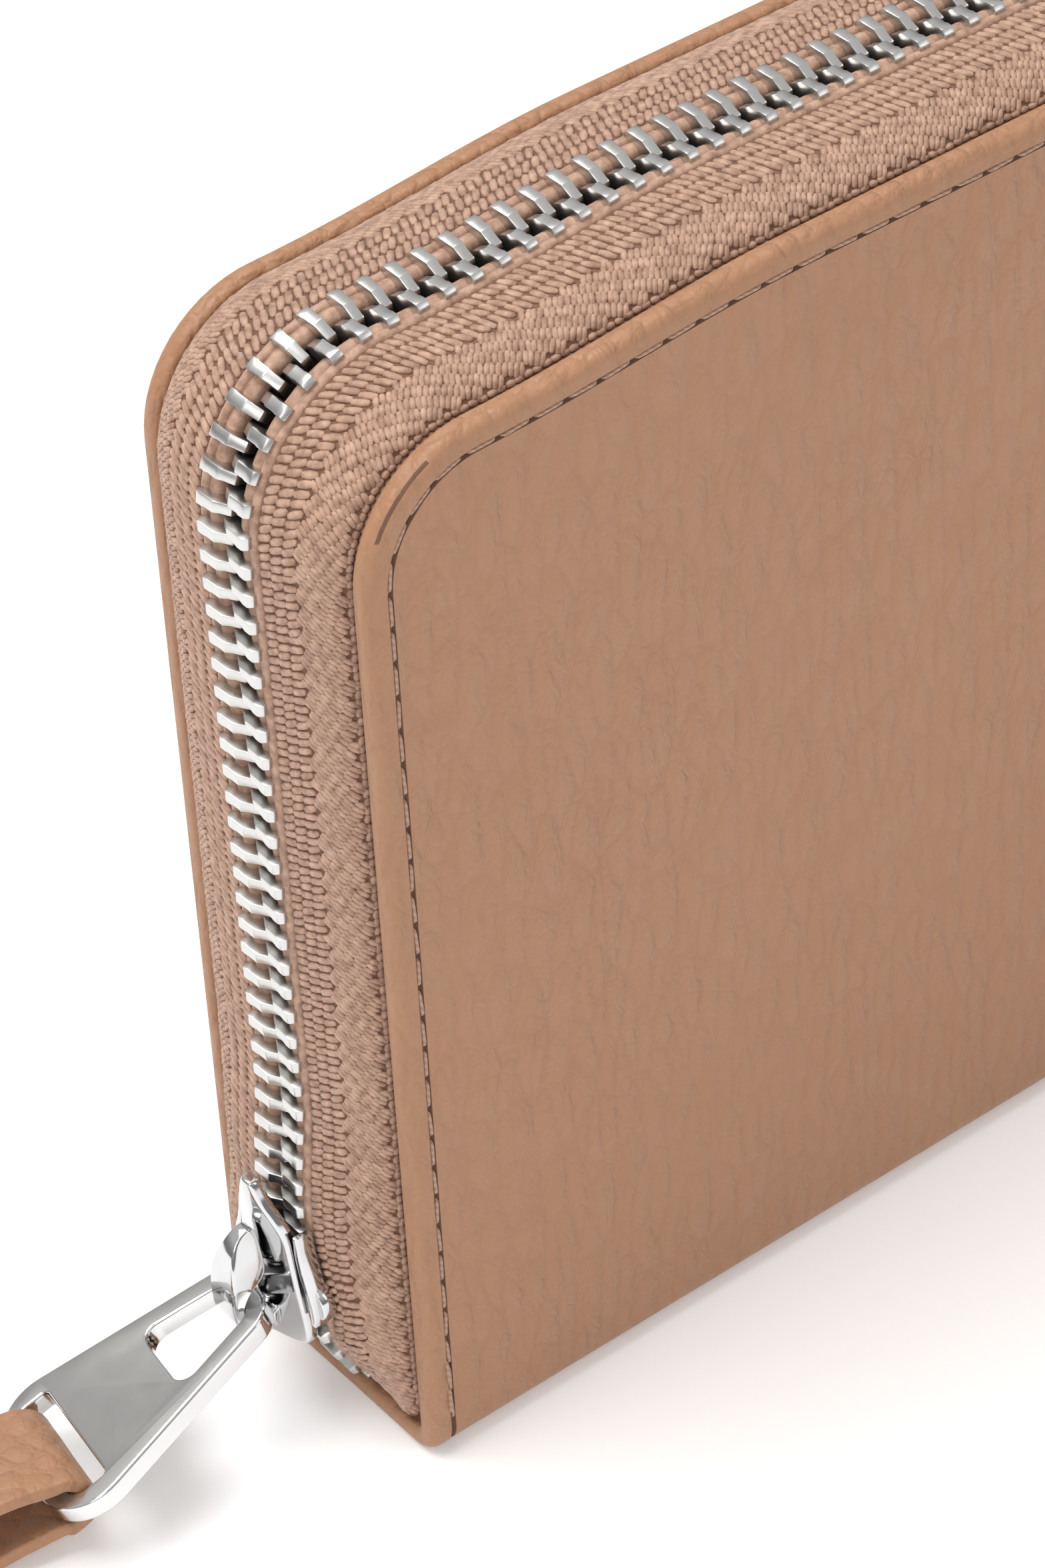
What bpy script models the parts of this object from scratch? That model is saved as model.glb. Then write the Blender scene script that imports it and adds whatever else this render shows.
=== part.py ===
"""Zip-around wallet standing on its spine: leather halves, zip chain, slider, pull and interior.

X runs along the width, the front faces -Y and +Z is up. The origin is the centre of the spine's underside.
Lengths are in metres.
"""
import math

import bmesh
import bpy
from mathutils import Vector

# Overall
WIDTH = 0.193
HEIGHT = 0.1004
DEPTH = 0.028
CORNER_RADIUS = 0.011
TOP_RISE = 0.0018
RISE_LENGTH = 0.030
GAP = 0.0003

# Layers of a half, outside first
RIM = 0.0021
RIM_WIDTH = 0.008
LEATHER = 0.0011
BOARD = 0.0010
TAPE = 0.0005
LINING = 0.0005
LINING_INSET = 0.0012
POCKET_PANEL = 0.0006
POCKET_INSET = 0.0096
POCKET_BOTTOM = 0.0052
POCKET_TOPS = (0.052, 0.062, 0.072)
COVER_BOTTOM = 0.0028
COVER_ROUNDING = 0.0007

# Spine and the fold that the front opens on
SPINE_HALF = 0.0130
SPINE_THICKNESS = 0.0021
SPINE_LIP = 0.0021
FOLD_Y = -0.0126
FOLD_Z = 0.0023
SPINE_BOARD = 0.0007
SPINE_END_INSET = 0.004

# Zip chain
PITCH = 0.00254
CHAIN_OUT = 0.00175
TOOTH_THICKNESS = 0.0022
TOOTH_ROOT = 0.0031
TOOTH_NECK = 0.0024
TOOTH_HEAD = 0.00045
TOOTH_HEAD_WIDTH = 0.00084
TAPE_EDGE = 0.0034
TAPE_TUCK = 0.007
ZIP_START = 0.0032
DIP_TOP = 0.0102
DIP_DEPTH = 0.0033
LIFT = 0.0009
LIFT_LOW = 0.022
LIFT_HIGH = 0.034
SPREAD = 0.0016
SPREAD_LOW = 0.0125
SPREAD_HIGH = 0.0195

# Slider, on the left end
SLIDER_BOTTOM = 0.0092
SLIDER_LENGTH = 0.0156
PLATE = 0.0012
INNER_PLATE = 0.0008
PLATE_CLEARANCE = 0.0003
PLATE_LOOSE = 0.0004
TAPE_SLOT = 0.0010
FLANGE = 0.0007
DIAMOND_HALF = 0.0008
DIAMOND_LENGTH = 0.0038
CROWN_LOW = 0.0096
CROWN_HIGH = 0.0208
CROWN_RISE = 0.0040
CROWN_WALL = 0.0010
CROWN_WIDTH = 0.0026

# Pull tab: lengths are measured along it from its bar's centre
TAB_BAR_OUT = 0.0073
TAB_BAR_HEIGHT = 0.0133
TAB_ALONG = Vector((-0.911, 0.118, -0.396)).normalized()
TAB_ACROSS = Vector((-0.193, -0.969, 0.155))
TAB_THICKNESS = 0.0019
TAB_BAR = 0.00085
TAB_SHOULDER = 0.0026
TAB_NARROW = 0.0041
TAB_SLOPE = 0.235
TAB_END = 0.0229
TAB_CORNER = 0.0045
TAB_RAIL = 0.0019
WINDOW_END = 0.0087
SLOT_START = 0.01745
SLOT_LENGTH = 0.0034

# Leather pull through the tab's slot
STRAP_WIDTH = 0.0112
STRAP = 0.0012
STRAP_GAP = 0.0004
STRAP_LENGTH = 0.058
STRAP_TURN = math.radians(16)
STRAP_REST = 0.00002
STRAP_DROP = 0.016
LOOP_CLEARANCE = 0.00035

# Coin compartment
COIN_DEPTH = 0.0062
COIN_WALL = 0.0007
COIN_INSET = 0.0068
COIN_BOTTOM = 0.0054
COIN_TOP = 0.0740
COIN_TAPE = 0.0004
COIN_TAPE_DROP = 0.007
COIN_COIL = 0.0009
COIN_COIL_HEIGHT = 0.0014
COIN_SLIDER_LENGTH = 0.0080
COIN_SLIDER_HALF = 0.0020
COIN_SLIDER_PLATE = 0.0006
COIN_END = 0.0100
COIN_PULL_LENGTH = 0.014
COIN_PULL_WIDTH = 0.0050
COIN_PULL = 0.0010
COIN_EYE = 0.0006

GUSSET = 0.0004
GUSSET_INSET = 0.0066
GUSSET_FOLD = 0.0020
GUSSET_TOP = 0.070

FRONT = -1
BACK = 1
LEFT = -WIDTH / 2
COVER_FACE = DEPTH / 2
TAPE_FACE = COVER_FACE - RIM - GAP
LINING_FACE = TAPE_FACE - TAPE - GAP
POCKET_FACE = LINING_FACE - LINING - GAP
CORNER_HEIGHT = HEIGHT - TOP_RISE - CORNER_RADIUS


def new_material(name, color, roughness, metallic=0.0):
    """A Principled BSDF with one colour."""
    material = bpy.data.materials.new(name)
    material.use_nodes = True
    shader = material.node_tree.nodes["Principled BSDF"]
    shader.inputs["Base Color"].default_value = (*color, 1)
    shader.inputs["Roughness"].default_value = roughness
    shader.inputs["Metallic"].default_value = metallic
    material.diffuse_color = (*color, 1)
    return material


def add_object(name, mesh_builder, material, origin=(0, 0, 0)):
    """Turn a bmesh into a named object whose origin is at the given point."""
    bmesh.ops.recalc_face_normals(mesh_builder, faces=mesh_builder.faces)
    bmesh.ops.translate(mesh_builder, verts=mesh_builder.verts, vec=-Vector(origin))
    mesh = bpy.data.meshes.new(name)
    mesh_builder.to_mesh(mesh)
    mesh_builder.free()
    mesh.materials.append(material)
    shape = bpy.data.objects.new(name, mesh)
    shape.location = origin
    bpy.context.scene.collection.objects.link(shape)
    return shape


def prism(points, direction):
    """A closed bmesh: the polygon through the points, extruded along the direction."""
    builder = bmesh.new()
    bottom = [builder.verts.new(point) for point in points]
    top = [builder.verts.new(Vector(point) + direction) for point in points]
    builder.faces.new(bottom)
    builder.faces.new(top)
    for index in range(len(points)):
        after = (index + 1) % len(points)
        builder.faces.new((bottom[index], bottom[after], top[after], top[index]))
    return builder


def box(low, high):
    """A closed bmesh box between two corners."""
    points = [(low[0], low[1], low[2]), (high[0], low[1], low[2]),
              (high[0], high[1], low[2]), (low[0], high[1], low[2])]
    return prism(points, Vector((0, 0, high[2] - low[2])))


def sweep(rings):
    """A closed bmesh through rings of equally many points, capped at both ends."""
    builder = bmesh.new()
    loops = [[builder.verts.new(point) for point in ring] for ring in rings]
    builder.faces.new(loops[0])
    builder.faces.new(loops[-1])
    count = len(loops[0])
    for first, second in zip(loops, loops[1:]):
        for index in range(count):
            after = (index + 1) % count
            builder.faces.new((first[index], first[after], second[after], second[index]))
    return builder


def union(target, cutter_builders, material):
    """Join closed bmeshes to an object with EXACT booleans."""
    for number, builder in enumerate(cutter_builders):
        extra = add_object(f"{target.name}_join_{number}", builder, material)
        extra.hide_render = True
        extra.display_type = "WIRE"
        modifier = target.modifiers.new(f"join_{number}", "BOOLEAN")
        modifier.operation = "UNION"
        modifier.solver = "EXACT"
        modifier.object = extra


def cut(target, cutter_builders, material):
    """Cut closed bmeshes from an object with EXACT booleans."""
    for number, builder in enumerate(cutter_builders):
        tool = add_object(f"{target.name}_cut_{number}", builder, material)
        tool.hide_render = True
        tool.display_type = "WIRE"
        modifier = target.modifiers.new(f"cut_{number}", "BOOLEAN")
        modifier.operation = "DIFFERENCE"
        modifier.solver = "EXACT"
        modifier.object = tool


def smooth_step(value):
    """0 to 1 with level ends."""
    value = min(max(value, 0.0), 1.0)
    return value * value * (3 - 2 * value)


def top_height(x):
    """Height of the top edge, which falls a little towards the corners."""
    from_corner = WIDTH / 2 - abs(x) - CORNER_RADIUS
    return HEIGHT - TOP_RISE * (1 - smooth_step(from_corner / RISE_LENGTH))


def edge_point(distance, out):
    """Point (x, z) beside the three-sided edge.

    The distance is measured along the chain from its lower left end; out is how far outside the edge it lies.
    """
    side = CORNER_HEIGHT - ZIP_START
    arc = (CORNER_RADIUS + CHAIN_OUT) * math.pi / 2
    top = WIDTH - 2 * CORNER_RADIUS
    if distance > side + arc + top / 2:
        x, z = edge_point(2 * (side + arc) + top - distance, out)
        return -x, z
    if distance < side:
        return LEFT - out, ZIP_START + distance
    if distance < side + arc:
        angle = (distance - side) / (CORNER_RADIUS + CHAIN_OUT)
        reach = CORNER_RADIUS + out
        return (LEFT + CORNER_RADIUS - reach * math.cos(angle),
                CORNER_HEIGHT + reach * math.sin(angle))
    x = LEFT + CORNER_RADIUS + distance - side - arc
    return x, top_height(x) + out


def chain_length():
    """Length of the chain's centre line from one lower end to the other."""
    return (2 * (CORNER_HEIGHT - ZIP_START) + math.pi * (CORNER_RADIUS + CHAIN_OUT)
            + WIDTH - 2 * CORNER_RADIUS)


def stations(side_steps, corner_steps, top_steps):
    """Distances along the chain that a swept strip needs."""
    side = CORNER_HEIGHT - ZIP_START
    arc = (CORNER_RADIUS + CHAIN_OUT) * math.pi / 2
    half = [step for step in side_steps]
    half += [side + arc * index / corner_steps for index in range(corner_steps + 1)]
    half += [side + arc + RISE_LENGTH * index / top_steps for index in range(1, top_steps + 1)]
    whole = chain_length()
    return half + [whole - distance for distance in reversed(half)]


def panel_outline(inset, bottom, corner_steps=6, rise_steps=3):
    """Outline of a half in XZ, from the lower left corner over the top to the lower right."""
    reach = CORNER_RADIUS - inset
    half = [(LEFT + inset, bottom)]
    for index in range(corner_steps + 1):
        angle = math.pi / 2 * index / corner_steps
        half.append((LEFT + CORNER_RADIUS - reach * math.cos(angle),
                     CORNER_HEIGHT + reach * math.sin(angle)))
    for index in range(1, rise_steps + 1):
        x = LEFT + CORNER_RADIUS + RISE_LENGTH * index / rise_steps
        half.append((x, top_height(x) - inset))
    return half + [(-x, z) for x, z in reversed(half)]


def slab(outline, near, far):
    """The outline extruded along Y from near to far."""
    return prism([(x, near, z) for x, z in outline], Vector((0, far - near, 0)))


def cover(side):
    """Outer leather of one half: a turned, rounded rim round a thinner middle that holds the board."""
    steps = 3
    profile = []
    for index in range(steps + 1):
        angle = math.pi / 2 * index / steps
        profile.append((COVER_ROUNDING * (1 - math.sin(angle)), COVER_FACE - COVER_ROUNDING * (1 - math.cos(angle))))
    profile += [(0, COVER_FACE - RIM), (RIM_WIDTH, COVER_FACE - RIM), (RIM_WIDTH, COVER_FACE - LEATHER)]
    rings = []
    for inset, height in profile:
        outline = panel_outline(inset, COVER_BOTTOM + inset)
        rings.append([(x, side * height, z) for x, z in outline])
    return sweep(rings)


def half_layers(word, side, materials, body_origin):
    """Cover, board, lining and the three card pocket panels of one half."""
    leather, card, fabric, pocket = materials
    add_object(f"{word}_cover", cover(side), leather, body_origin)
    board_inset = RIM_WIDTH + GAP
    board_outer = COVER_FACE - LEATHER - GAP
    board_bottom = COVER_BOTTOM + board_inset
    add_object(f"{word}_board",
               slab(panel_outline(board_inset, board_bottom), side * board_outer, side * (board_outer - BOARD)),
               card, body_origin)
    add_object(f"{word}_lining",
               slab(panel_outline(LINING_INSET, POCKET_BOTTOM - 2 * GAP),
                    side * LINING_FACE, side * (LINING_FACE - LINING)),
               fabric, body_origin)
    for number, height in enumerate(POCKET_TOPS):
        outer = POCKET_FACE - (len(POCKET_TOPS) - 1 - number) * (POCKET_PANEL + GAP)
        reach = WIDTH / 2 - POCKET_INSET
        low = (-reach, min(side * outer, side * (outer - POCKET_PANEL)), POCKET_BOTTOM)
        high = (reach, max(side * outer, side * (outer - POCKET_PANEL)), height)
        add_object(f"{word}_card_pocket_{number + 1}", box(low, high), pocket, body_origin)


def spread_at(distance):
    """How far the rows stand apart from their meshed place, near the slider's mouth."""
    height = ZIP_START + distance
    if height > CORNER_HEIGHT:
        return 0.0
    return SPREAD * (1 - smooth_step((height - SPREAD_LOW) / (SPREAD_HIGH - SPREAD_LOW)))


def raised_at(distance):
    """How far the chain lies outside its usual place.

    The slider lifts it near the lower left end, and below the slider and at the other end it turns inwards.
    """
    whole = chain_length()
    below = max(DIP_TOP - ZIP_START - min(distance, whole - distance), 0) / (DIP_TOP - ZIP_START)
    dip = DIP_DEPTH * below ** 1.3
    if distance > whole / 2:
        return -dip * 0.6
    height = ZIP_START + distance
    return LIFT * (1 - smooth_step((height - LIFT_LOW) / (LIFT_HIGH - LIFT_LOW))) - dip


def tape(side):
    """One zip tape: from inside the half, out over the rim and across to the teeth."""
    thick = TAPE / 2
    line = ((TAPE_FACE - thick, -TAPE_TUCK, 0, 0), (TAPE_FACE - thick, -0.0008, 0, 0),
            (TAPE_FACE - 0.0010, -0.0001, 0, 0.1), (TAPE_FACE - 0.0026, 0.0009, 0.2, 0.5),
            (0.0060, 0.00165, 0.9, 1), (TAPE_EDGE, CHAIN_OUT, 1, 1))
    rings = []
    for distance in stations((0, 0.002, 0.0045, 0.007, 0.0105, 0.0135, 0.0165, 0.020, 0.025, 0.031), 6, 3):
        spread = spread_at(distance)
        raised = raised_at(distance)
        ring = []
        for index, (across, out, share, raised_share) in enumerate(line + line[::-1]):
            first_pass = index < len(line)
            place = index if first_pass else 2 * len(line) - 1 - index
            before = line[max(place - 1, 0)]
            after = line[min(place + 1, len(line) - 1)]
            along = Vector((after[0] - before[0], after[1] - before[1])).normalized()
            offset = thick if first_pass else -thick
            y = across + spread * share - along.y * offset
            x, z = edge_point(distance, out + raised * raised_share + along.x * offset)
            ring.append((x, side * y, z))
        rings.append(ring)
    return sweep(rings)


def tooth_row(side):
    """A row of teeth on their cord, as one toothed strip."""
    count = int((chain_length() - PITCH) / PITCH)
    shift = 0.0 if side == FRONT else PITCH / 2
    half_head = TOOTH_HEAD_WIDTH / 2
    outer, inner = [], []
    for number in range(count + 1):
        valley = number * PITCH + shift
        outer.append((valley, TOOTH_ROOT))
        inner.append((valley, TOOTH_NECK))
        if number < count:
            inner.append((valley + PITCH / 2 - half_head, -TOOTH_HEAD))
            inner.append((valley + PITCH / 2 + half_head, -TOOTH_HEAD))
    builder = bmesh.new()
    layers = []
    for out in (CHAIN_OUT - TOOTH_THICKNESS / 2, CHAIN_OUT + TOOTH_THICKNESS / 2):
        placed = []
        for row in (outer, inner):
            verts = []
            for distance, across in row:
                x, z = edge_point(distance, out + raised_at(distance))
                verts.append(builder.verts.new((x, side * (across + spread_at(distance)), z)))
            placed.append(verts)
        layers.append(placed)
    (low_outer, low_inner), (high_outer, high_inner) = layers
    for number in range(count):
        a, b = 3 * number, 3 * number + 3
        for outer_row, inner_row in ((low_outer, low_inner), (high_outer, high_inner)):
            builder.faces.new((outer_row[number], outer_row[number + 1], inner_row[b], inner_row[a]))
            builder.faces.new(inner_row[a:b + 1])
        builder.faces.new((low_outer[number], low_outer[number + 1], high_outer[number + 1], high_outer[number]))
        for index in range(a, b):
            builder.faces.new((low_inner[index], low_inner[index + 1], high_inner[index + 1], high_inner[index]))
    for end in (0, -1):
        builder.faces.new((low_outer[end], low_inner[end], high_inner[end], high_outer[end]))
    return builder


def spine_parts(leather, card, fabric):
    """The leather under the pouch, its stiffener and its lining."""
    thick = SPINE_THICKNESS
    section = [(-SPINE_HALF + 0.0020, 0), (SPINE_HALF - 0.0020, 0), (SPINE_HALF - 0.0006, 0.0006),
               (SPINE_HALF, SPINE_LIP - 0.0003), (SPINE_HALF - 0.0007, SPINE_LIP + 0.0001),
               (SPINE_HALF - 0.0016, thick - 0.0002), (-SPINE_HALF + 0.0016, thick - 0.0002),
               (-SPINE_HALF + 0.0007, SPINE_LIP + 0.0001), (-SPINE_HALF, SPINE_LIP - 0.0003),
               (-SPINE_HALF + 0.0006, 0.0006)]
    reach = WIDTH / 2 - 0.0004
    add_object("spine_cover", prism([(-reach, y, z) for y, z in section], Vector((2 * reach, 0, 0))), leather)
    low = thick - 0.0002 + GAP
    inside = WIDTH / 2 - SPINE_END_INSET
    half = LINING_FACE - LINING - GAP
    add_object("spine_board", box((-inside, -half, low), (inside, half, low + SPINE_BOARD)), card)
    low += SPINE_BOARD + GAP
    add_object("spine_lining", box((-inside, -half, low), (inside, half, low + LINING)), fabric)


def plate_outline(bottom, length, scale):
    """Shield outline of a slider plate in YZ: rounded at the mouth, narrow at the top."""
    half = [(0.0, 0.0), (0.66, 0.0), (0.92, 0.05), (1.0, 0.16), (1.0, 0.40), (0.94, 0.60), (0.70, 0.80),
            (0.36, 0.95), (0.18, 1.0)]
    wide = TOOTH_ROOT + SPREAD + PLATE_CLEARANCE + FLANGE
    right = [(wide * scale * y, bottom + length * z) for y, z in half]
    return right + [(-y, z) for y, z in reversed(right) if y > 0]


def flange_outline(side, bottom, top):
    """A strip along one side of the chain, following the rows where they spread."""
    steps = 5
    inner, outer = [], []
    for index in range(steps + 1):
        height = bottom + (top - bottom) * index / steps
        across = TOOTH_ROOT + PLATE_CLEARANCE + spread_at(height - ZIP_START)
        inner.append((side * across, height))
        outer.append((side * (across + FLANGE), height))
    return inner + outer[::-1]


def arch_line(foot, rise, low, high, steps=12):
    """Points (x, z) of a flattened half ring that stands on the plane x = foot."""
    middle, half_length = (low + high) / 2, (high - low) / 2
    line = []
    for index in range(steps + 1):
        angle = math.pi * index / steps
        level = math.copysign(abs(math.cos(angle)) ** 0.75, math.cos(angle))
        height = math.sin(angle) ** 0.8 if 0 < index < steps else 0.0
        line.append((foot - rise * height, middle + half_length * level))
    return line


def slider(metal):
    """Slider body with two plates, side flanges and the wedge between the rows, and its crown."""
    centre = LEFT - CHAIN_OUT - LIFT
    origin = (centre, 0, SLIDER_BOTTOM)
    reach = TOOTH_THICKNESS / 2 + PLATE_CLEARANCE
    face_out = centre - reach - PLATE_LOOSE
    face_in = centre + reach
    outline = plate_outline(SLIDER_BOTTOM, SLIDER_LENGTH, 1.0)
    body = add_object("slider_body", prism([(face_out, y, z) for y, z in outline], Vector((-PLATE, 0, 0))),
                      metal, origin)
    inner = plate_outline(SLIDER_BOTTOM + 0.0012, SLIDER_LENGTH * 0.76, 0.97)
    joins = [prism([(face_in, y, z) for y, z in inner], Vector((INNER_PLATE, 0, 0)))]
    overlap = 0.0003
    flange_low = SLIDER_BOTTOM + 0.0016
    flange_high = SLIDER_BOTTOM + SLIDER_LENGTH * 0.72
    for side in (FRONT, BACK):
        strip = flange_outline(side, flange_low, flange_high)
        outer_depth = centre - TAPE_SLOT / 2 - face_out + overlap
        joins.append(prism([(face_out - overlap, y, z) for y, z in strip], Vector((outer_depth, 0, 0))))
        inner_depth = face_in + overlap - centre - TAPE_SLOT / 2
        joins.append(prism([(face_in + overlap, y, z) for y, z in strip], Vector((-inner_depth, 0, 0))))
    low = SLIDER_BOTTOM + 0.0014
    wedge = [(DIAMOND_HALF * 0.6, low), (DIAMOND_HALF, low + DIAMOND_LENGTH * 0.4), (0.0002, low + DIAMOND_LENGTH),
             (-0.0002, low + DIAMOND_LENGTH), (-DIAMOND_HALF, low + DIAMOND_LENGTH * 0.4), (-DIAMOND_HALF * 0.6, low)]
    wedge_depth = face_in - face_out + 2 * overlap
    joins.append(prism([(face_out - overlap, y, z) for y, z in wedge], Vector((wedge_depth, 0, 0))))
    union(body, joins, metal)

    foot = face_out - PLATE - GAP
    outer = arch_line(foot, CROWN_RISE, CROWN_LOW, CROWN_HIGH)
    inside = arch_line(foot, CROWN_RISE - CROWN_WALL, CROWN_LOW + CROWN_WALL, CROWN_HIGH - CROWN_WALL)
    loop = outer + inside[::-1]
    add_object("slider_crown", prism([(x, -CROWN_WIDTH / 2, z) for x, z in loop], Vector((0, CROWN_WIDTH, 0))),
               metal, origin)


def tab_frame():
    """Origin, length, width and face directions of the pull tab."""
    origin = Vector((LEFT - TAB_BAR_OUT, 0, TAB_BAR_HEIGHT))
    across = (TAB_ACROSS - TAB_ALONG * TAB_ACROSS.dot(TAB_ALONG)).normalized()
    return origin, TAB_ALONG, across, TAB_ALONG.cross(across)


def tab_half_width(along):
    """Half width of the tab, which tapers towards its bar."""
    return TAB_NARROW + TAB_SLOPE * along


def rounded(points, radii, steps=4):
    """A polygon with each corner replaced by an arc of its own radius."""
    result = []
    count = len(points)
    for index, (point, radius) in enumerate(zip(points, radii)):
        corner = Vector(point)
        before = (Vector(points[index - 1]) - corner).normalized()
        after = (Vector(points[(index + 1) % count]) - corner).normalized()
        half = before.angle(after) / 2
        reach = radius / math.tan(half)
        centre = corner + (before + after).normalized() * radius / math.sin(half)
        start = corner + before * reach - centre
        end = corner + after * reach - centre
        turn = start.angle(end)
        for step in range(steps + 1):
            share = step / steps
            arm = start * math.sin(turn * (1 - share)) + end * math.sin(turn * share)
            result.append(tuple(centre + arm / math.sin(turn)))
    return result


def pull_tab(metal):
    """Tapered plate with a window for the crown and a slot for the leather."""
    origin, along, across, normal = tab_frame()

    def place(points, depth):
        return [origin + along * s + across * t + normal * depth for s, t in points]

    end = tab_half_width(TAB_END)
    start = tab_half_width(-TAB_BAR)
    outline = rounded([(-TAB_BAR, -start), (TAB_END, -end), (TAB_END, end), (-TAB_BAR, start)],
                      (TAB_SHOULDER, TAB_CORNER, TAB_CORNER, TAB_SHOULDER))
    window = rounded([(TAB_BAR, -tab_half_width(TAB_BAR) + TAB_RAIL),
                      (WINDOW_END, -tab_half_width(WINDOW_END) + TAB_RAIL),
                      (WINDOW_END, tab_half_width(WINDOW_END) - TAB_RAIL),
                      (TAB_BAR, tab_half_width(TAB_BAR) - TAB_RAIL)], (0.0008, 0.0013, 0.0013, 0.0008), 3)
    slot_end = SLOT_START + SLOT_LENGTH
    slot = rounded([(SLOT_START, -tab_half_width(SLOT_START) + TAB_RAIL),
                    (slot_end, -tab_half_width(SLOT_START) + TAB_RAIL),
                    (slot_end, tab_half_width(SLOT_START) - TAB_RAIL),
                    (SLOT_START, tab_half_width(SLOT_START) - TAB_RAIL)], (0.0004, 0.0013, 0.0013, 0.0004), 3)
    half = TAB_THICKNESS / 2
    tab = add_object("pull_tab", prism(place(outline, -half), normal * TAB_THICKNESS), metal, origin)
    cut(tab, [prism(place(hole, -2 * half), normal * TAB_THICKNESS * 2) for hole in (window, slot)], metal)


def bar_centre():
    """Centre of the tab's end bar, which the leather turns round."""
    origin, along, _, _ = tab_frame()
    return origin + along * (SLOT_START + SLOT_LENGTH + TAB_END) / 2


def strap_line():
    """Centre line of the pull leather: along the table, over the tab's end bar, down its slot and back."""
    bar = bar_centre()
    half_bar = (TAB_END - SLOT_START - SLOT_LENGTH) / 2
    radius = math.hypot(half_bar, TAB_THICKNESS / 2) + LOOP_CLEARANCE + STRAP / 2
    away = Vector((-math.cos(STRAP_TURN), math.sin(STRAP_TURN), 0))
    up = Vector((0, 0, 1))
    low = STRAP_REST + STRAP / 2 - bar.z
    high = low + STRAP + STRAP_GAP
    around = []
    for degrees in range(100, -90, -20):
        angle = math.radians(degrees)
        around.append(bar + (up * math.sin(angle) - away * math.cos(angle)) * radius)
    upper = [bar + away * STRAP_LENGTH + up * high, bar + away * STRAP_DROP * 1.7 + up * high,
             bar + away * STRAP_DROP + up * (high + 0.0007), bar + away * STRAP_DROP * 0.55 + up * (radius * 0.75)]
    lower = [bar + away * STRAP_DROP * 0.38 + up * (low + 0.0005), bar + away * STRAP_DROP * 0.8 + up * low,
             bar + away * STRAP_LENGTH + up * low]
    return upper + around + lower


def smooth_line(points, steps):
    """Catmull-Rom curve through the points."""
    padded = [2 * points[0] - points[1]] + points + [2 * points[-1] - points[-2]]
    line = []
    for index in range(1, len(padded) - 2):
        p0, p1, p2, p3 = padded[index - 1:index + 3]
        for step in range(steps):
            t = step / steps
            line.append(0.5 * (2 * p1 + (p2 - p0) * t + (2 * p0 - 5 * p1 + 4 * p2 - p3) * t * t
                               + (3 * p1 - p0 - 3 * p2 + p3) * t ** 3))
    return line + [points[-1]]


def pull_strap(leather):
    """Leather strip doubled through the tab's slot, its two ends lying on each other."""
    line = smooth_line(strap_line(), 3)
    across = tab_frame()[2]
    away = Vector((-math.cos(STRAP_TURN), math.sin(STRAP_TURN), 0))
    level = away.cross(Vector((0, 0, -1)))
    origin = bar_centre()
    rings = []
    for index, point in enumerate(line):
        ahead = (line[min(index + 1, len(line) - 1)] - line[max(index - 1, 0)]).normalized()
        near = 1 - smooth_step(((point - origin).dot(away) - 0.0025) / 0.008)
        width = level.lerp(across, near)
        width = (width - ahead * width.dot(ahead)).normalized() * STRAP_WIDTH / 2
        thick = ahead.cross(width).normalized() * STRAP / 2
        rings.append([point - width - thick, point + width - thick, point + width + thick, point - width + thick])
    add_object("pull_strap", sweep(rings), leather, origin)


def coin_pocket(leather, fabric, plastic, metal):
    """Zipped compartment between the two halves."""
    origin = (0, 0, COIN_BOTTOM)
    reach = WIDTH / 2 - COIN_INSET
    half = COIN_DEPTH / 2
    for word, side in (("front", FRONT), ("back", BACK)):
        faces = sorted((side * half, side * (half - COIN_WALL)))
        add_object(f"coin_{word}_wall", box((-reach, faces[0], COIN_BOTTOM), (reach, faces[1], COIN_TOP)),
                   leather, origin)
        inner = COIN_COIL + 2 * GAP
        top = COIN_TOP + 0.0009
        section = [(half + GAP, COIN_TOP - COIN_TAPE_DROP), (half + GAP + COIN_TAPE, COIN_TOP - COIN_TAPE_DROP),
                   (half + GAP + COIN_TAPE, top + COIN_TAPE), (inner, top + COIN_TAPE), (inner, top),
                   (half + GAP, top)]
        end = reach - 0.001
        add_object(f"coin_{word}_tape", prism([(-end, side * y, z) for y, z in section], Vector((2 * end, 0, 0))),
                   fabric, origin)
        coil = sorted((side * GAP / 2, side * (GAP / 2 + COIN_COIL)))
        middle = top + COIN_TAPE / 2
        start = -WIDTH / 2 + COIN_END + COIN_SLIDER_LENGTH * 0.5
        stop = WIDTH / 2 - COIN_END
        add_object(f"coin_{word}_coil",
                   box((start, coil[0], middle - COIN_COIL_HEIGHT / 2), (stop, coil[1], middle + COIN_COIL_HEIGHT / 2)),
                   plastic, origin)
    inside = half - COIN_WALL - GAP
    add_object("coin_bottom", box((-reach, -inside, COIN_BOTTOM), (reach, inside, COIN_BOTTOM + COIN_WALL)),
               leather, origin)
    for word, sign in (("left", -1), ("right", 1)):
        ends = sorted((sign * reach, sign * (reach - COIN_WALL)))
        add_object(f"coin_{word}_side",
                   box((ends[0], -inside, COIN_BOTTOM + COIN_WALL + GAP), (ends[1], inside, COIN_TOP)),
                   leather, origin)
    middle = COIN_TOP + 0.0009 + COIN_TAPE / 2
    stop = WIDTH / 2 - COIN_END + GAP
    add_object("coin_zip_stop",
               box((stop, -0.0012, middle - COIN_COIL_HEIGHT / 2), (stop + 0.0012, 0.0012, middle + COIN_COIL_HEIGHT / 2)),
               metal, origin)
    coin_slider(metal, middle)


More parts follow.
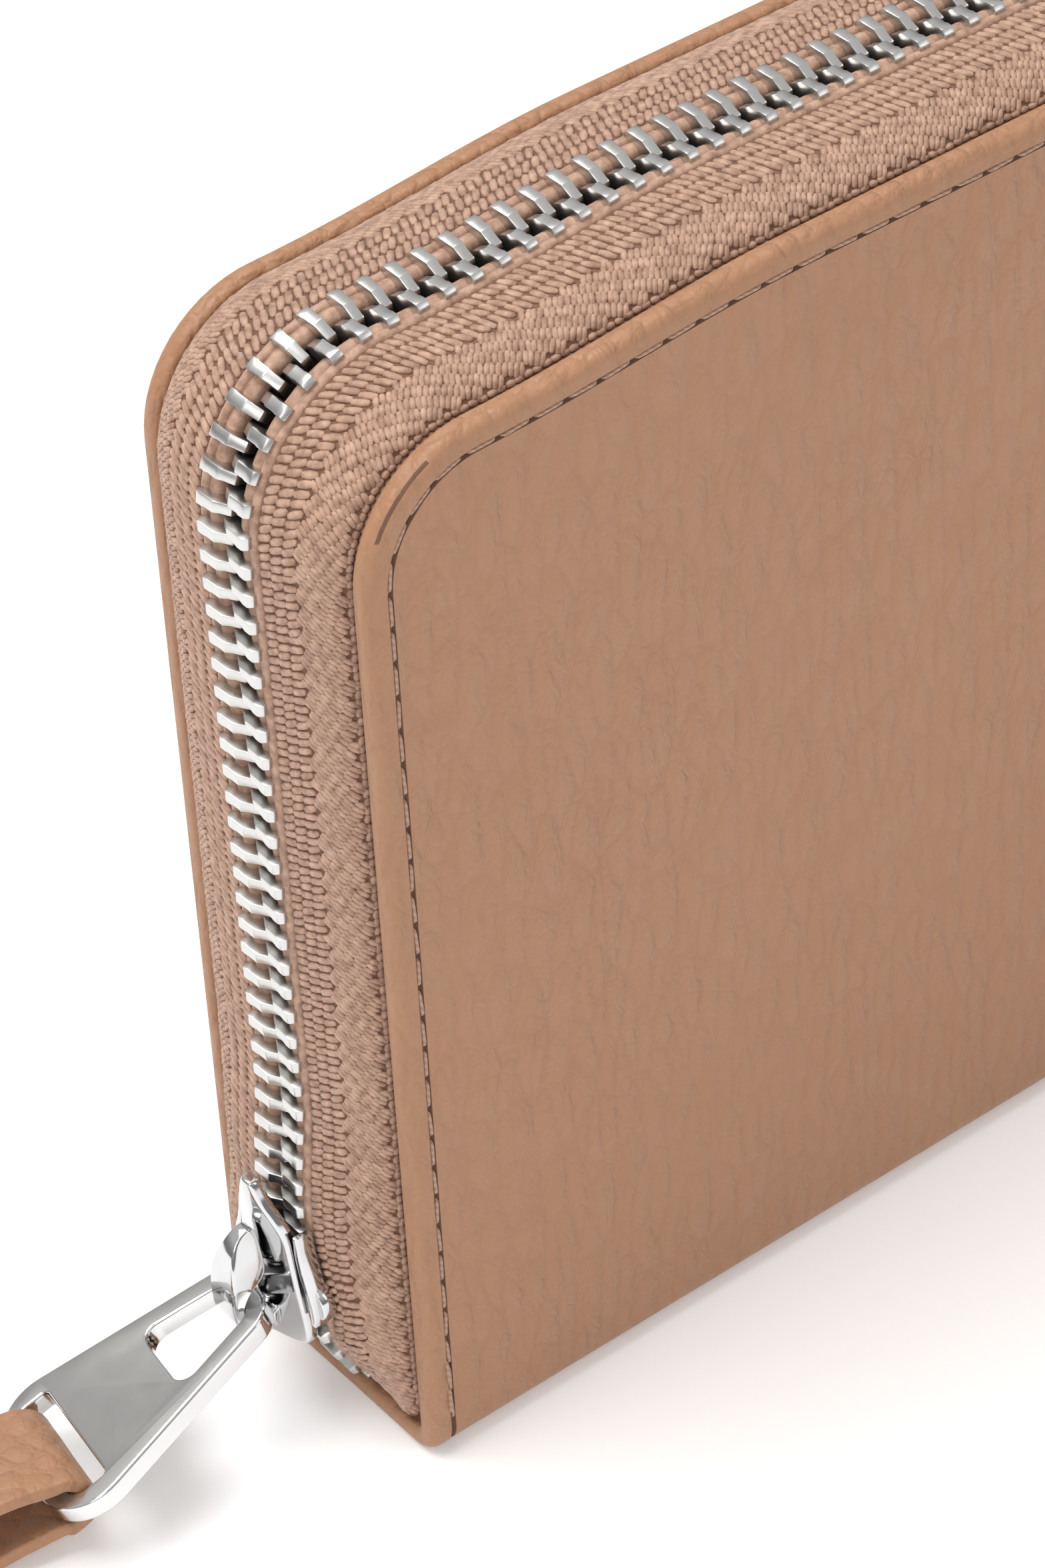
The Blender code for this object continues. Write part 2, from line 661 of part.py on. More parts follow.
def coin_slider(metal, middle):
    """The inner zip's slider with its eye, and its pull lying along the zip."""
    left = -WIDTH / 2 + COIN_END
    right = left + COIN_SLIDER_LENGTH
    inner = COIN_COIL_HEIGHT / 2 + GAP
    plate = COIN_SLIDER_PLATE
    half = COIN_SLIDER_HALF
    origin = (left + COIN_SLIDER_LENGTH / 2, 0, middle)
    body = add_object("coin_slider", box((left, -half, middle + inner), (right, half, middle + inner + plate)),
                      metal, origin)
    overlap = 0.0002
    top = middle + inner + plate
    post = left + 0.0010
    eye_low = left + 0.0026
    eye_high = right - 0.0010
    eye_inner = COIN_PULL / 2 + 2 * GAP
    eye_height = top + 2 * eye_inner
    joins = [box((left + 0.0004, -half * 0.8, middle - inner - plate), (right, half * 0.8, middle - inner)),
             box((post, -0.0005, middle - inner - overlap), (post + 0.0014, 0.0005, middle + inner + overlap)),
             box((eye_low, -COIN_EYE, top - overlap), (eye_low + 0.0008, COIN_EYE, eye_height + 0.0003)),
             box((eye_high - 0.0008, -COIN_EYE, top - overlap), (eye_high, COIN_EYE, eye_height + 0.0003)),
             box((eye_low, -COIN_EYE, eye_height), (eye_high, COIN_EYE, eye_height + 0.0008))]
    union(body, joins, metal)
    bar = Vector(((eye_low + eye_high) / 2, 0, top + eye_inner))
    wide = COIN_PULL_WIDTH / 2
    low = bar + Vector((-COIN_PULL / 2, -wide, -COIN_PULL / 2))
    high = bar + Vector((COIN_PULL_LENGTH, wide, COIN_PULL / 2))
    pull = add_object("coin_pull", box(low, high), metal, bar)
    window_low = bar + Vector((COIN_PULL / 2, -COIN_EYE - 2 * GAP, -COIN_PULL))
    window_high = bar + Vector((0.0050, COIN_EYE + 2 * GAP, COIN_PULL))
    cut(pull, [box(window_low, window_high)], metal)


def gussets(fabric):
    """Four folded end walls, one at each end of the two note compartments."""
    x_edge = WIDTH / 2 - GUSSET_INSET
    x_fold = x_edge - GUSSET_FOLD
    y_half = LINING_FACE - LINING - GAP
    y_coin = COIN_DEPTH / 2 + COIN_TAPE + 2 * GAP
    y_middle = (y_half + y_coin) / 2
    low = POCKET_BOTTOM
    for word, side in (("front", FRONT), ("back", BACK)):
        for end, sign in (("left", -1), ("right", 1)):
            outline = [(x_edge, y_half), (x_fold, y_middle), (x_edge, y_coin),
                       (x_edge - GUSSET * 1.6, y_coin), (x_fold - GUSSET * 1.6, y_middle), (x_edge - GUSSET * 1.6, y_half)]
            points = [(sign * x, side * y, low) for x, y in outline]
            add_object(f"{word}_{end}_gusset", prism(points, Vector((0, 0, GUSSET_TOP - low))), fabric)


def zip_ends(metal):
    """Stops at the rows' lower left ends and one at the right end."""
    out = CHAIN_OUT - DIP_DEPTH
    half = TOOTH_THICKNESS / 2
    low = ZIP_START - 0.0019
    high = ZIP_START - GAP
    floor = SPINE_THICKNESS
    for word, side in (("front", FRONT), ("back", BACK)):
        rows = sorted((side * (TOOTH_NECK + SPREAD - 0.0006), side * (TOOTH_ROOT + SPREAD)))
        add_object(f"{word}_zip_stop",
                   box((LEFT - out - half, rows[0], max(low, floor)), (LEFT - out + half, rows[1], high)), metal)
    add_object("end_zip_stop",
               box((-LEFT + out - half, -TOOTH_ROOT, max(low, floor)), (-LEFT + out + half, TOOTH_ROOT, high)), metal)


def build():
    """Every piece of the pouch."""
    leather = new_material("tan_leather", (0.42, 0.235, 0.155), 0.55)
    pocket = new_material("pocket_leather", (0.40, 0.225, 0.15), 0.6)
    fabric = new_material("lining_fabric", (0.36, 0.25, 0.18), 0.85)
    zip_fabric = new_material("zip_tape", (0.45, 0.27, 0.19), 0.9)
    card = new_material("board", (0.5, 0.45, 0.38), 0.9)
    teeth = new_material("nickel_teeth", (0.62, 0.6, 0.56), 0.3, 1.0)
    chrome = new_material("polished_metal", (0.8, 0.8, 0.8), 0.12, 1.0)
    brushed = new_material("brushed_metal", (0.7, 0.69, 0.67), 0.3, 1.0)
    nylon = new_material("nylon", (0.35, 0.22, 0.16), 0.5)

    half_layers("back", BACK, (leather, card, fabric, pocket), (0, 0, 0))
    half_layers("front", FRONT, (leather, card, fabric, pocket), (0, FOLD_Y, FOLD_Z))
    for word, side, origin in (("back", BACK, (0, 0, 0)), ("front", FRONT, (0, FOLD_Y, FOLD_Z))):
        add_object(f"{word}_tape", tape(side), zip_fabric, origin)
        add_object(f"{word}_teeth", tooth_row(side), teeth, origin)
    spine_parts(leather, card, fabric)
    zip_ends(brushed)
    gussets(fabric)
    slider(chrome)
    pull_tab(brushed)
    pull_strap(leather)
    coin_pocket(pocket, zip_fabric, nylon, brushed)


for leftover in list(bpy.data.objects):
    bpy.data.objects.remove(leftover, do_unlink=True)
build()
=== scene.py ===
"""Long zip-around wallet standing on its spine: leather, woven zip tape, teeth, slider and interior.

Lengths are in metres. X runs along the width, the front faces -Y and +Z is up.
"""
import math

import bpy
import numpy as np
from mathutils import Matrix, Vector, noise


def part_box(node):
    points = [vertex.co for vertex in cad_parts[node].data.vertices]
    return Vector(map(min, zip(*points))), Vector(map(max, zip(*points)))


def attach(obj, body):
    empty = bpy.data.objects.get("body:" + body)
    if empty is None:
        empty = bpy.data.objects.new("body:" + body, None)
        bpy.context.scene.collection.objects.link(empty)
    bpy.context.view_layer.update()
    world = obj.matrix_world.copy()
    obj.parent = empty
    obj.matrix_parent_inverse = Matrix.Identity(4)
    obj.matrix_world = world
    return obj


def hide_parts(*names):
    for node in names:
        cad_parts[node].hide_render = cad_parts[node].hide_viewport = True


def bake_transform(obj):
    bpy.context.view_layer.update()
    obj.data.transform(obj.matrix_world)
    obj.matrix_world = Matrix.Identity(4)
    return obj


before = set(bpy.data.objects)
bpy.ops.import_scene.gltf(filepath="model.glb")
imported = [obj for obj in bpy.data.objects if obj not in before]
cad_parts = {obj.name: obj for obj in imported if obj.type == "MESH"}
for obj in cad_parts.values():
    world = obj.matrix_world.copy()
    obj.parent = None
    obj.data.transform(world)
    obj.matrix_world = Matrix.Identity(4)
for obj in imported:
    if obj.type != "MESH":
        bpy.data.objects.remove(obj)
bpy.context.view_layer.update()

MM = 0.001

# Overall sizes
WIDTH = 0.193
HEIGHT = 0.1004
FACE = 0.014
CORNER_RADIUS = 0.011
TOP_RISE = 0.0018
RISE_LENGTH = 0.030
LEFT = -WIDTH / 2
CORNER_HEIGHT = HEIGHT - TOP_RISE - CORNER_RADIUS
LEATHER = 0.0021
FOLD_RADIUS = 0.0028

# Zip chain
PITCH = 0.00254
CHAIN_OUT = 0.00175
ZIP_START = 0.0032
DIP_TOP = 0.0102
DIP_DEPTH = 0.0033
LIFT = 0.0009
LIFT_LOW = 0.022
LIFT_HIGH = 0.034
SPREAD = 0.0016
SPREAD_LOW = 0.0125
SPREAD_HIGH = 0.0195
TOOTH_ROOT = 0.0031
TOOTH_HEAD = 0.00045
TOOTH_THICKNESS = 0.0022

# Slider and pull
SLIDER_BOTTOM = 0.0092
SLIDER_CENTRE = LEFT - CHAIN_OUT - LIFT
PLATE_OUT = SLIDER_CENTRE - 0.0018
PLATE = 0.0012
INNER_PLATE_X = SLIDER_CENTRE + 0.0014
BAR_CENTRE = Vector((LEFT - 0.0073, 0, 0.0133))
TAB_ALONG = Vector((-0.911, 0.118, -0.396)).normalized()
TAB_ACROSS = Vector((-0.193, -0.969, 0.155))
TAB_ACROSS = (TAB_ACROSS - TAB_ALONG * TAB_ACROSS.dot(TAB_ALONG)).normalized()
TAB_NORMAL = TAB_ALONG.cross(TAB_ACROSS)
TAB_THICKNESS = 0.0019
TAB_BAR = 0.00085
TAB_END = 0.0229
TAB_RAIL = 0.0019
WINDOW_END = 0.0087
SLOT_START = 0.01745
SLOT_END = 0.02085
STRAP_WIDTH = 0.0112
STRAP = 0.0012
STRAP_LENGTH = 0.058
STRAP_AWAY = Vector((-math.cos(math.radians(16)), math.sin(math.radians(16)), 0))

# Sewn lines
STITCH_START = 0.0036
STITCH_INSET = 0.00212
STITCH_SPACING = 0.0031

# Height of the inner zip's chain
COIN_CHAIN_HEIGHT = 0.0740 + 0.0009 + 0.0002

# Axes of a flat piece: its own x and y, and its thickness
OUTWARD = (Vector((0, 1, 0)), Vector((0, 0, 1)), Vector((1, 0, 0)))
SIDEWAYS = (Vector((-1, 0, 0)), Vector((0, 0, 1)), Vector((0, 1, 0)))
UPRIGHT = (Vector((1, 0, 0)), Vector((0, 0, 1)), Vector((0, -1, 0)))
LEVEL = (Vector((1, 0, 0)), Vector((0, 1, 0)), Vector((0, 0, 1)))

FRONT = -1
BACK = 1
BODY = {FRONT: "front_half", BACK: "back_half"}
WORD = {FRONT: "front", BACK: "back"}


# ---------------------------------------------------------------- modelling helpers

def activate(piece):
    """Make the piece the only selected one."""
    bpy.ops.object.select_all(action="DESELECT")
    piece.select_set(True)
    bpy.context.view_layer.objects.active = piece


def settle(piece):
    """Put the piece's place, turn and scale into its mesh."""
    activate(piece)
    bpy.ops.object.transform_apply(location=True, rotation=True, scale=True)
    return piece


def block(name, low, high):
    """A box primitive between two corners."""
    bpy.ops.object.select_all(action="DESELECT")
    low, high = Vector(low), Vector(high)
    bpy.ops.mesh.primitive_cube_add(size=1, location=(low + high) / 2)
    piece = bpy.context.object
    piece.name = name
    piece.scale = high - low
    return settle(piece)


def choose(piece, kind, test):
    """Enter edit mode with only those vertices, edges or faces selected whose middle passes the test."""
    activate(piece)
    bpy.ops.object.mode_set(mode="EDIT")
    bpy.ops.mesh.select_mode(type=kind)
    bpy.ops.mesh.select_all(action="DESELECT")
    bpy.ops.object.mode_set(mode="OBJECT")
    mesh = piece.data
    points = [vertex.co.copy() for vertex in mesh.vertices]
    if kind == "VERT":
        for vertex in mesh.vertices:
            vertex.select = bool(test(vertex.co, vertex))
    elif kind == "EDGE":
        for edge in mesh.edges:
            first, second = (points[index] for index in edge.vertices)
            edge.select = bool(test((first + second) / 2, second - first))
    else:
        for face in mesh.polygons:
            face.select = bool(test(face.center, face.normal))
    bpy.ops.object.mode_set(mode="EDIT")


def leave_edit():
    bpy.ops.object.mode_set(mode="OBJECT")


def finish_with(piece, kind, **settings):
    """Add a modifier and apply it."""
    activate(piece)
    modifier = piece.modifiers.new(kind.lower(), kind)
    for name, value in settings.items():
        setattr(modifier, name, value)
    bpy.ops.object.modifier_apply(modifier=modifier.name)
    return piece


def soften(piece, degrees=35):
    """Smooth shading except over edges sharper than this."""
    activate(piece)
    bpy.ops.object.shade_smooth_by_angle(angle=math.radians(degrees))
    return piece


def close_up(piece, distance=0.000002):
    """Join doubled points and turn the faces outward."""
    choose(piece, "VERT", lambda middle, part: True)
    bpy.ops.mesh.remove_doubles(threshold=distance)
    bpy.ops.mesh.normals_make_consistent(inside=False)
    leave_edit()
    return piece


def slice_across(piece, axis, places):
    """Cut the piece's faces with planes across one axis."""
    normal = Vector((0, 0, 0))
    normal[axis] = 1
    activate(piece)
    bpy.ops.object.mode_set(mode="EDIT")
    for place in places:
        point = Vector((0, 0, 0))
        point[axis] = place
        bpy.ops.mesh.select_all(action="SELECT")
        bpy.ops.mesh.bisect(plane_co=point, plane_no=normal)
    leave_edit()


def slice_evenly(piece, axis, low, high, count):
    """Cut the piece across one axis into equal parts between two places."""
    slice_across(piece, axis, [low + (high - low) * step / count for step in range(1, count)])


def round_edges(piece, width, segments, degrees):
    """Round the edges that are sharper than this."""
    return finish_with(piece, "BEVEL", width=width, segments=segments, limit_method="ANGLE",
                       angle_limit=math.radians(degrees))


def thicken(sheet, thickness, degrees, offset=0.0, doubles=0.0000005):
    """Give a sheet its thickness, close it and smooth it."""
    finish_with(sheet, "SOLIDIFY", thickness=thickness, offset=offset)
    close_up(sheet, doubles)
    return soften(sheet, degrees)


def add_object(name, data):
    """A new object in the scene."""
    piece = bpy.data.objects.new(name, data)
    bpy.context.scene.collection.objects.link(piece)
    return piece


def move_points(piece, place):
    """Move every vertex of the piece to place(vertex)."""
    mesh = piece.data
    points = np.zeros(len(mesh.vertices) * 3)
    mesh.vertices.foreach_get("co", points)
    moved = place(points.reshape(-1, 3))
    mesh.vertices.foreach_set("co", np.asarray(moved, float).ravel())
    mesh.update()
    return piece


def grid_sheet(name, columns, rows, place):
    """A grid primitive whose vertices (u, v in 0..1) are laid out by place."""
    bpy.ops.object.select_all(action="DESELECT")
    bpy.ops.mesh.primitive_grid_add(x_subdivisions=columns, y_subdivisions=rows, size=1)
    piece = bpy.context.object
    piece.name = name
    return move_points(piece, lambda points: place(points[:, 0] + 0.5, points[:, 1] + 0.5))


def repeat(name, master, origins, along, across, out, sizes=None):
    """One mesh with a copy of the master at each origin, turned to its three axes and scaled."""
    mesh = master.data
    points = np.zeros(len(mesh.vertices) * 3)
    mesh.vertices.foreach_get("co", points)
    points = points.reshape(-1, 3)
    faces = [tuple(face.vertices) for face in mesh.polygons]
    sizes = np.ones((len(origins), 3)) if sizes is None else np.asarray(sizes)
    local = points[None, :, :] * sizes[:, None, :]
    placed = (np.asarray(origins)[:, None, :] + local[:, :, 0:1] * along[:, None, :]
              + local[:, :, 1:2] * across[:, None, :] + local[:, :, 2:3] * out[:, None, :])
    count = len(points)
    all_faces = [tuple(index + number * count for index in face)
                 for number in range(len(origins)) for face in faces]
    made = bpy.data.meshes.new(name)
    made.from_pydata(placed.reshape(-1, 3).tolist(), [], all_faces)
    return add_object(name, made)


def discard(piece):
    bpy.data.objects.remove(piece, do_unlink=True)


def dress(piece, body, material, slot, *nodes):
    """Give the piece its material, body and the frame nodes that it stands for. The slot argument is not used.
    """
    piece.data.materials.clear()
    for one in material if isinstance(material, (list, tuple)) else [material]:
        piece.data.materials.append(one)
    if body:
        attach(piece, body)
    if nodes:
        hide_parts(*nodes)
    return piece


def rounded(points, radii, steps=8):
    """A polygon with each corner replaced by an arc of its own radius."""
    result = []
    for index, (point, radius) in enumerate(zip(points, radii)):
        corner = Vector(point)
        before = (Vector(points[index - 1]) - corner).normalized()
        after = (Vector(points[(index + 1) % len(points)]) - corner).normalized()
        half = before.angle(after) / 2
        reach = radius / math.tan(half)
        centre = corner + (before + after).normalized() * radius / math.sin(half)
        start = corner + before * reach - centre
        end = corner + after * reach - centre
        turn = start.angle(end)
        for step in range(steps + 1):
            share = step / steps
            arm = start * math.sin(turn * (1 - share)) + end * math.sin(turn * share)
            result.append(tuple(centre + arm / math.sin(turn)))
    return result


def smooth_line(points, steps, closed=False):
    """Catmull-Rom curve through the points."""
    points = [Vector(point) for point in points]
    if closed:
        padded = [points[-1]] + points + points[:2]
    else:
        padded = [2 * points[0] - points[1]] + points + [2 * points[-1] - points[-2]]
    line = []
    for index in range(1, len(padded) - 2):
        p0, p1, p2, p3 = padded[index - 1:index + 3]
        for step in range(steps):
            t = step / steps
            line.append(0.5 * (2 * p1 + (p2 - p0) * t + (2 * p0 - 5 * p1 + 4 * p2 - p3) * t * t
                               + (3 * p1 - p0 - 3 * p2 + p3) * t ** 3))
    return line if closed else line + [points[-1]]


def smooth_outline(points, steps, closed=False):
    """A smooth line through flat points, as pairs."""
    return [(point.x, point.y) for point in smooth_line([(x, y, 0) for x, y in points], steps, closed)]


def path_runs(points):
    """Distance along a line of points to each of them."""
    return np.concatenate([[0], np.cumsum(np.linalg.norm(np.diff(points, axis=0), axis=1))])


def path_at(points, runs, at):
    """Places at distances along a line of points."""
    return np.stack([np.interp(at, runs, points[:, axis]) for axis in range(points.shape[1])], -1)


def cut_plate(name, outlines, thickness, rounding, axes, origin, resolution=2):
    """A flat piece cut along closed outlines, the first outside and the others holes, its edges rounded."""
    curve = bpy.data.curves.new(name, "CURVE")
    curve.dimensions = "2D"
    curve.fill_mode = "BOTH"
    curve.extrude = thickness / 2 - rounding
    curve.bevel_depth = rounding
    curve.bevel_resolution = resolution
    curve.offset = -rounding
    for outline in outlines:
        spline = curve.splines.new("POLY")
        spline.points.add(len(outline) - 1)
        for point, place in zip(spline.points, outline):
            point.co = (place[0], place[1], 0, 1)
        spline.use_cyclic_u = True
    activate(add_object(name, curve))
    bpy.ops.object.convert(target="MESH")
    piece = bpy.context.object
    turn = Matrix(axes).transposed().to_4x4()
    piece.data.transform(Matrix.Translation(origin) @ turn)
    return close_up(piece)


# ---------------------------------------------------------------- the wallet's edge

def step_smooth(value):
    value = np.clip(value, 0, 1)
    return value * value * (3 - 2 * value)


def top_rise(x):
    """How far the top edge stands above its height at the corners."""
    return TOP_RISE * step_smooth((WIDTH / 2 - np.abs(x) - CORNER_RADIUS) / RISE_LENGTH)


def chain_length():
    """Length of the chain's centre line from one lower end to the other."""
    return (2 * (CORNER_HEIGHT - ZIP_START) + math.pi * (CORNER_RADIUS + CHAIN_OUT)
            + WIDTH - 2 * CORNER_RADIUS)


def edge_place(distance, out):
    """Points x, z beside the three-sided edge: distance along the chain, out from the edge."""
    distance = np.asarray(distance, float)
    whole = chain_length()
    far = distance > whole / 2
    near = np.where(far, whole - distance, distance)
    side = CORNER_HEIGHT - ZIP_START
    arc = (CORNER_RADIUS + CHAIN_OUT) * math.pi / 2
    angle = np.clip((near - side) / (CORNER_RADIUS + CHAIN_OUT), 0, math.pi / 2)
    reach = CORNER_RADIUS + out
    x = LEFT + CORNER_RADIUS - reach * np.cos(angle) + np.maximum(near - side - arc, 0)
    z = ZIP_START + np.minimum(near, side) + reach * np.sin(angle)
    z = z + np.where(near > side + arc, top_rise(x), 0)
    return np.where(far, -x, x), z


def spread_at(distance):
    """How far the rows stand apart from their meshed place, near the slider's mouth."""
    height = ZIP_START + distance
    spread = SPREAD * (1 - step_smooth((height - SPREAD_LOW) / (SPREAD_HIGH - SPREAD_LOW)))
    return np.where(height > CORNER_HEIGHT, 0, spread)


def raised_at(distance):
    """How far the chain lies outside its usual place: lifted by the slider, dipping in at its ends."""
    distance = np.asarray(distance, float)
    whole = chain_length()
    end = DIP_TOP - ZIP_START
    dip = DIP_DEPTH * (np.maximum(end - np.minimum(distance, whole - distance), 0) / end) ** 1.3
    lift = LIFT * (1 - step_smooth((ZIP_START + distance - LIFT_LOW) / (LIFT_HIGH - LIFT_LOW)))
    return np.where(distance > whole / 2, -dip * 0.6, lift - dip)


def chain_frame(distance, side):
    """Origins and axes of teeth on a row: along, across to the root, and outward."""
    step = 0.0002
    x, z = edge_place(distance, CHAIN_OUT + raised_at(distance))
    x1, z1 = edge_place(distance + step, CHAIN_OUT + raised_at(distance + step))
    x0, z0 = edge_place(distance - step, CHAIN_OUT + raised_at(distance - step))
    along = np.stack([x1 - x0, np.zeros_like(x), z1 - z0], 1)
    along /= np.linalg.norm(along, axis=1)[:, None]
    across = np.tile([0.0, side, 0.0], (len(x), 1))
    along = along * side
    out = np.cross(along, across)
    return np.stack([x, side * spread_at(distance), z], 1), along, across, out


# The tape from the teeth to its sewn edge: across, outward, and its share of the chain's lift
TAPE_LINE = np.array([tuple(point) for point in smooth_line((
    (0.0031, 0.00175, 1), (0.0042, 0.00180, 1), (0.0060, 0.00174, 0.95), (0.0076, 0.00156, 0.8),
    (0.0090, 0.00122, 0.55), (0.0101, 0.00074, 0.3), (0.0109, 0.00012, 0.12), (0.01132, -0.0008, 0.03),
    (0.01138, -0.0026, 0), (0.01138, -0.0066, 0)), 6)])
TAPE_RUN = path_runs(TAPE_LINE[:, :2])


def tape_place(side, distance, run, lift=0.0):
    """Points on a zip tape: distance along the chain, run across from the teeth, lift above its face."""
    across, out, share = path_at(TAPE_LINE, TAPE_RUN, run).T
    slope = path_at(TAPE_LINE, TAPE_RUN, run + 0.0002) - path_at(TAPE_LINE, TAPE_RUN, run - 0.0002)
    slope_y, slope_o = slope[:, 0], slope[:, 1]
    length = np.hypot(slope_y, slope_o)
    across = across + spread_at(distance) * share - slope_o / length * lift
    out = out + raised_at(distance) * share + slope_y / length * lift
    x, z = edge_place(distance, out)
    return np.stack([x, side * across, z], -1)


# ---------------------------------------------------------------- materials

def finish_material(name, color, roughness, metallic=0.0, **sockets):
    """A Principled material and its node tree."""
    material = bpy.data.materials.new(name)
    material.use_nodes = True
    shader = material.node_tree.nodes["Principled BSDF"]
    shader.inputs["Base Color"].default_value = (*color, 1)
    shader.inputs["Roughness"].default_value = roughness
    shader.inputs["Metallic"].default_value = metallic
    for socket, value in sockets.items():
        shader.inputs[socket.replace("_", " ")].default_value = value
    return material


def add_node(material, kind, links=(), **values):
    """A node with its input values set, and links given as (input, other node's output)."""
    tree = material.node_tree
    made = tree.nodes.new("ShaderNode" + kind)
    for name, value in values.items():
        if name in made.inputs:
            made.inputs[name].default_value = value
        else:
            setattr(made, name, value)
    for name, output in links:
        tree.links.new(output, made.inputs[name])
    return made


def object_pattern(material, scale=(1, 1, 1)):
    """Object coordinates, scaled."""
    place = add_node(material, "TexCoord")
    return add_node(material, "Mapping", [("Vector", place.outputs["Object"])], Scale=scale).outputs["Vector"]


def noise_of(material, vector, scale, detail=3.0, roughness=0.5):
    return add_node(material, "TexNoise", [("Vector", vector)], Scale=scale, Detail=detail,
                    Roughness=roughness).outputs["Fac"]


def ramp(material, value, low, high, to_low=0.0, to_high=1.0):
    """Map a value from low..high to to_low..to_high."""
    names = {"From Min": low, "From Max": high, "To Min": to_low, "To Max": to_high}
    made = add_node(material, "MapRange", [("Value", value)], **names)
    return made.outputs["Result"]


def tint(material, value, first, second):
    """A colour between two by a value, into the base colour."""
    mix = material.node_tree.nodes.new("ShaderNodeMix")
    mix.data_type = "RGBA"
    mix.inputs[6].default_value = (*first, 1)
    mix.inputs[7].default_value = (*second, 1)
    material.node_tree.links.new(value, mix.inputs[0])
    wire(material, mix.outputs[2], "Base Color")


def wire(material, value, socket):
    """Link a value to the material's shader."""
    shader = material.node_tree.nodes["Principled BSDF"]
    material.node_tree.links.new(value, shader.inputs[socket])


def mottled(name, color, roughness, grain, first, second, **sockets):
    """A plain material whose colour drifts between two."""
    material = finish_material(name, color, roughness, **sockets)
    tint(material, noise_of(material, object_pattern(material), grain), first, second)
    return material


def relief(material, heights):
    """Chain bumps: each is (height, strength, distance)."""
    normal = None
    for height, strength, distance in heights:
        bump = add_node(material, "Bump", [("Height", height)], Strength=strength, Distance=distance)
        if normal is not None:
            material.node_tree.links.new(normal, bump.inputs["Normal"])
        normal = bump.outputs["Normal"]
    wire(material, normal, "Normal")


def arithmetic(material, operation, first, second):
    """A Math node on two sockets or numbers."""
    made = material.node_tree.nodes.new("ShaderNodeMath")
    made.operation = operation
    for index, value in enumerate((first, second)):
        if isinstance(value, (int, float)):
            made.inputs[index].default_value = value
        else:
            material.node_tree.links.new(value, made.inputs[index])
    return made.outputs[0]


def leather_finish(name, light, dark, cell, depth):
    """Satin leather: soft upright folds of grain, finer pebbles in them, and pores."""
    material = finish_material(name, light, 0.5, Specular_IOR_Level=0.40, Sheen_Weight=0.05)
    plain = object_pattern(material)
    warp = add_node(material, "TexNoise", [("Vector", plain)], Scale=0.35 / cell, Detail=2.0)
    shift = add_node(material, "VectorMath", [("Vector", warp.outputs["Color"])], operation="SCALE",
                     Scale=cell * 0.8)
    moved = add_node(material, "VectorMath", [(0, plain), (1, shift.outputs["Vector"])], operation="ADD")
    upright = add_node(material, "Mapping", [("Vector", moved.outputs["Vector"])], Scale=(1.0, 1.0, 0.30))
    pebbles = add_node(material, "Mapping", [("Vector", moved.outputs["Vector"])], Scale=(1.0, 1.0, 0.62))
    folds = add_node(material, "TexVoronoi", [("Vector", upright.outputs["Vector"])],
                     feature="SMOOTH_F1", Scale=1 / cell, Smoothness=0.35)
    creases = add_node(material, "TexVoronoi", [("Vector", upright.outputs["Vector"])],
                       feature="DISTANCE_TO_EDGE", Scale=1 / cell)
    small = add_node(material, "TexVoronoi", [("Vector", pebbles.outputs["Vector"])],
                     feature="DISTANCE_TO_EDGE", Scale=2.3 / cell)
    wide = noise_of(material, plain, 24.0, 2.0)
    patches = ramp(material, noise_of(material, plain, 60.0, 2.0), 0.35, 0.65, 0.6, 1.0)
    swell_height = arithmetic(material, "MULTIPLY", folds.outputs["Distance"], -1.0)
    crease = ramp(material, creases.outputs["Distance"], 0.0, 0.16)
    crease_height = arithmetic(material, "MULTIPLY", crease, patches)
    small_edge = ramp(material, small.outputs["Distance"], 0.0, 0.22)
    small_height = arithmetic(material, "MULTIPLY", small_edge, patches)
    pores = noise_of(material, plain, 5200.0, 2.0, 0.6)
    relief(material, [(swell_height, 0.85, depth * 2.2), (crease_height, 0.55, depth * 0.5),
                      (small_height, 0.40, depth * 0.5), (pores, 0.25, 0.00004)])
    # Painted shade: the colour is darkened along the grain's creases, more in some patches than in others.
    line = ramp(material, creases.outputs["Distance"], 0.0, 0.10, 0.15, 0.0)
    crease_shade = arithmetic(material, "MULTIPLY", patches, line)
    faint = ramp(material, arithmetic(material, "SUBTRACT", 1.0, crease_shade), 0.0, 1.0)
    mottle = ramp(material, noise_of(material, plain, 2600.0, 2.0), 0.3, 0.7, 0.88, 1.0)
    cloud = arithmetic(material, "MULTIPLY", mottle, ramp(material, wide, 0.3, 0.7, 0.92, 1.0))
    shade = arithmetic(material, "MULTIPLY", faint, cloud)
    tint(material, shade, dark, light)
    wire(material, ramp(material, noise_of(material, plain, 300.0), 0.3, 0.7, 0.44, 0.56), "Roughness")
    return material


def cloth_finish(name, light, dark, warp, weft):
    """Plain woven lining: threads crossing over and under on the object's own axes."""
    material = finish_material(name, light, 0.85, Sheen_Weight=0.15)
    place = object_pattern(material)
    split = add_node(material, "SeparateXYZ", [("Vector", place)])
    across = arithmetic(material, "MULTIPLY", split.outputs["X"], 2 * math.pi / warp)
    up = arithmetic(material, "MULTIPLY", split.outputs["Z"], 2 * math.pi / weft)
    first = arithmetic(material, "SINE", across, 0.0)
    second = arithmetic(material, "SINE", up, 0.0)
    weave = ramp(material, arithmetic(material, "MULTIPLY", first, second), -1.0, 1.0)
    slub = noise_of(material, place, 900.0, 2.0)
    relief(material, [(weave, 0.6, 0.00012), (slub, 0.3, 0.00005)])
    tint(material, ramp(material, arithmetic(material, "ADD", weave, slub), 0.5, 1.4), dark, light)
    return material


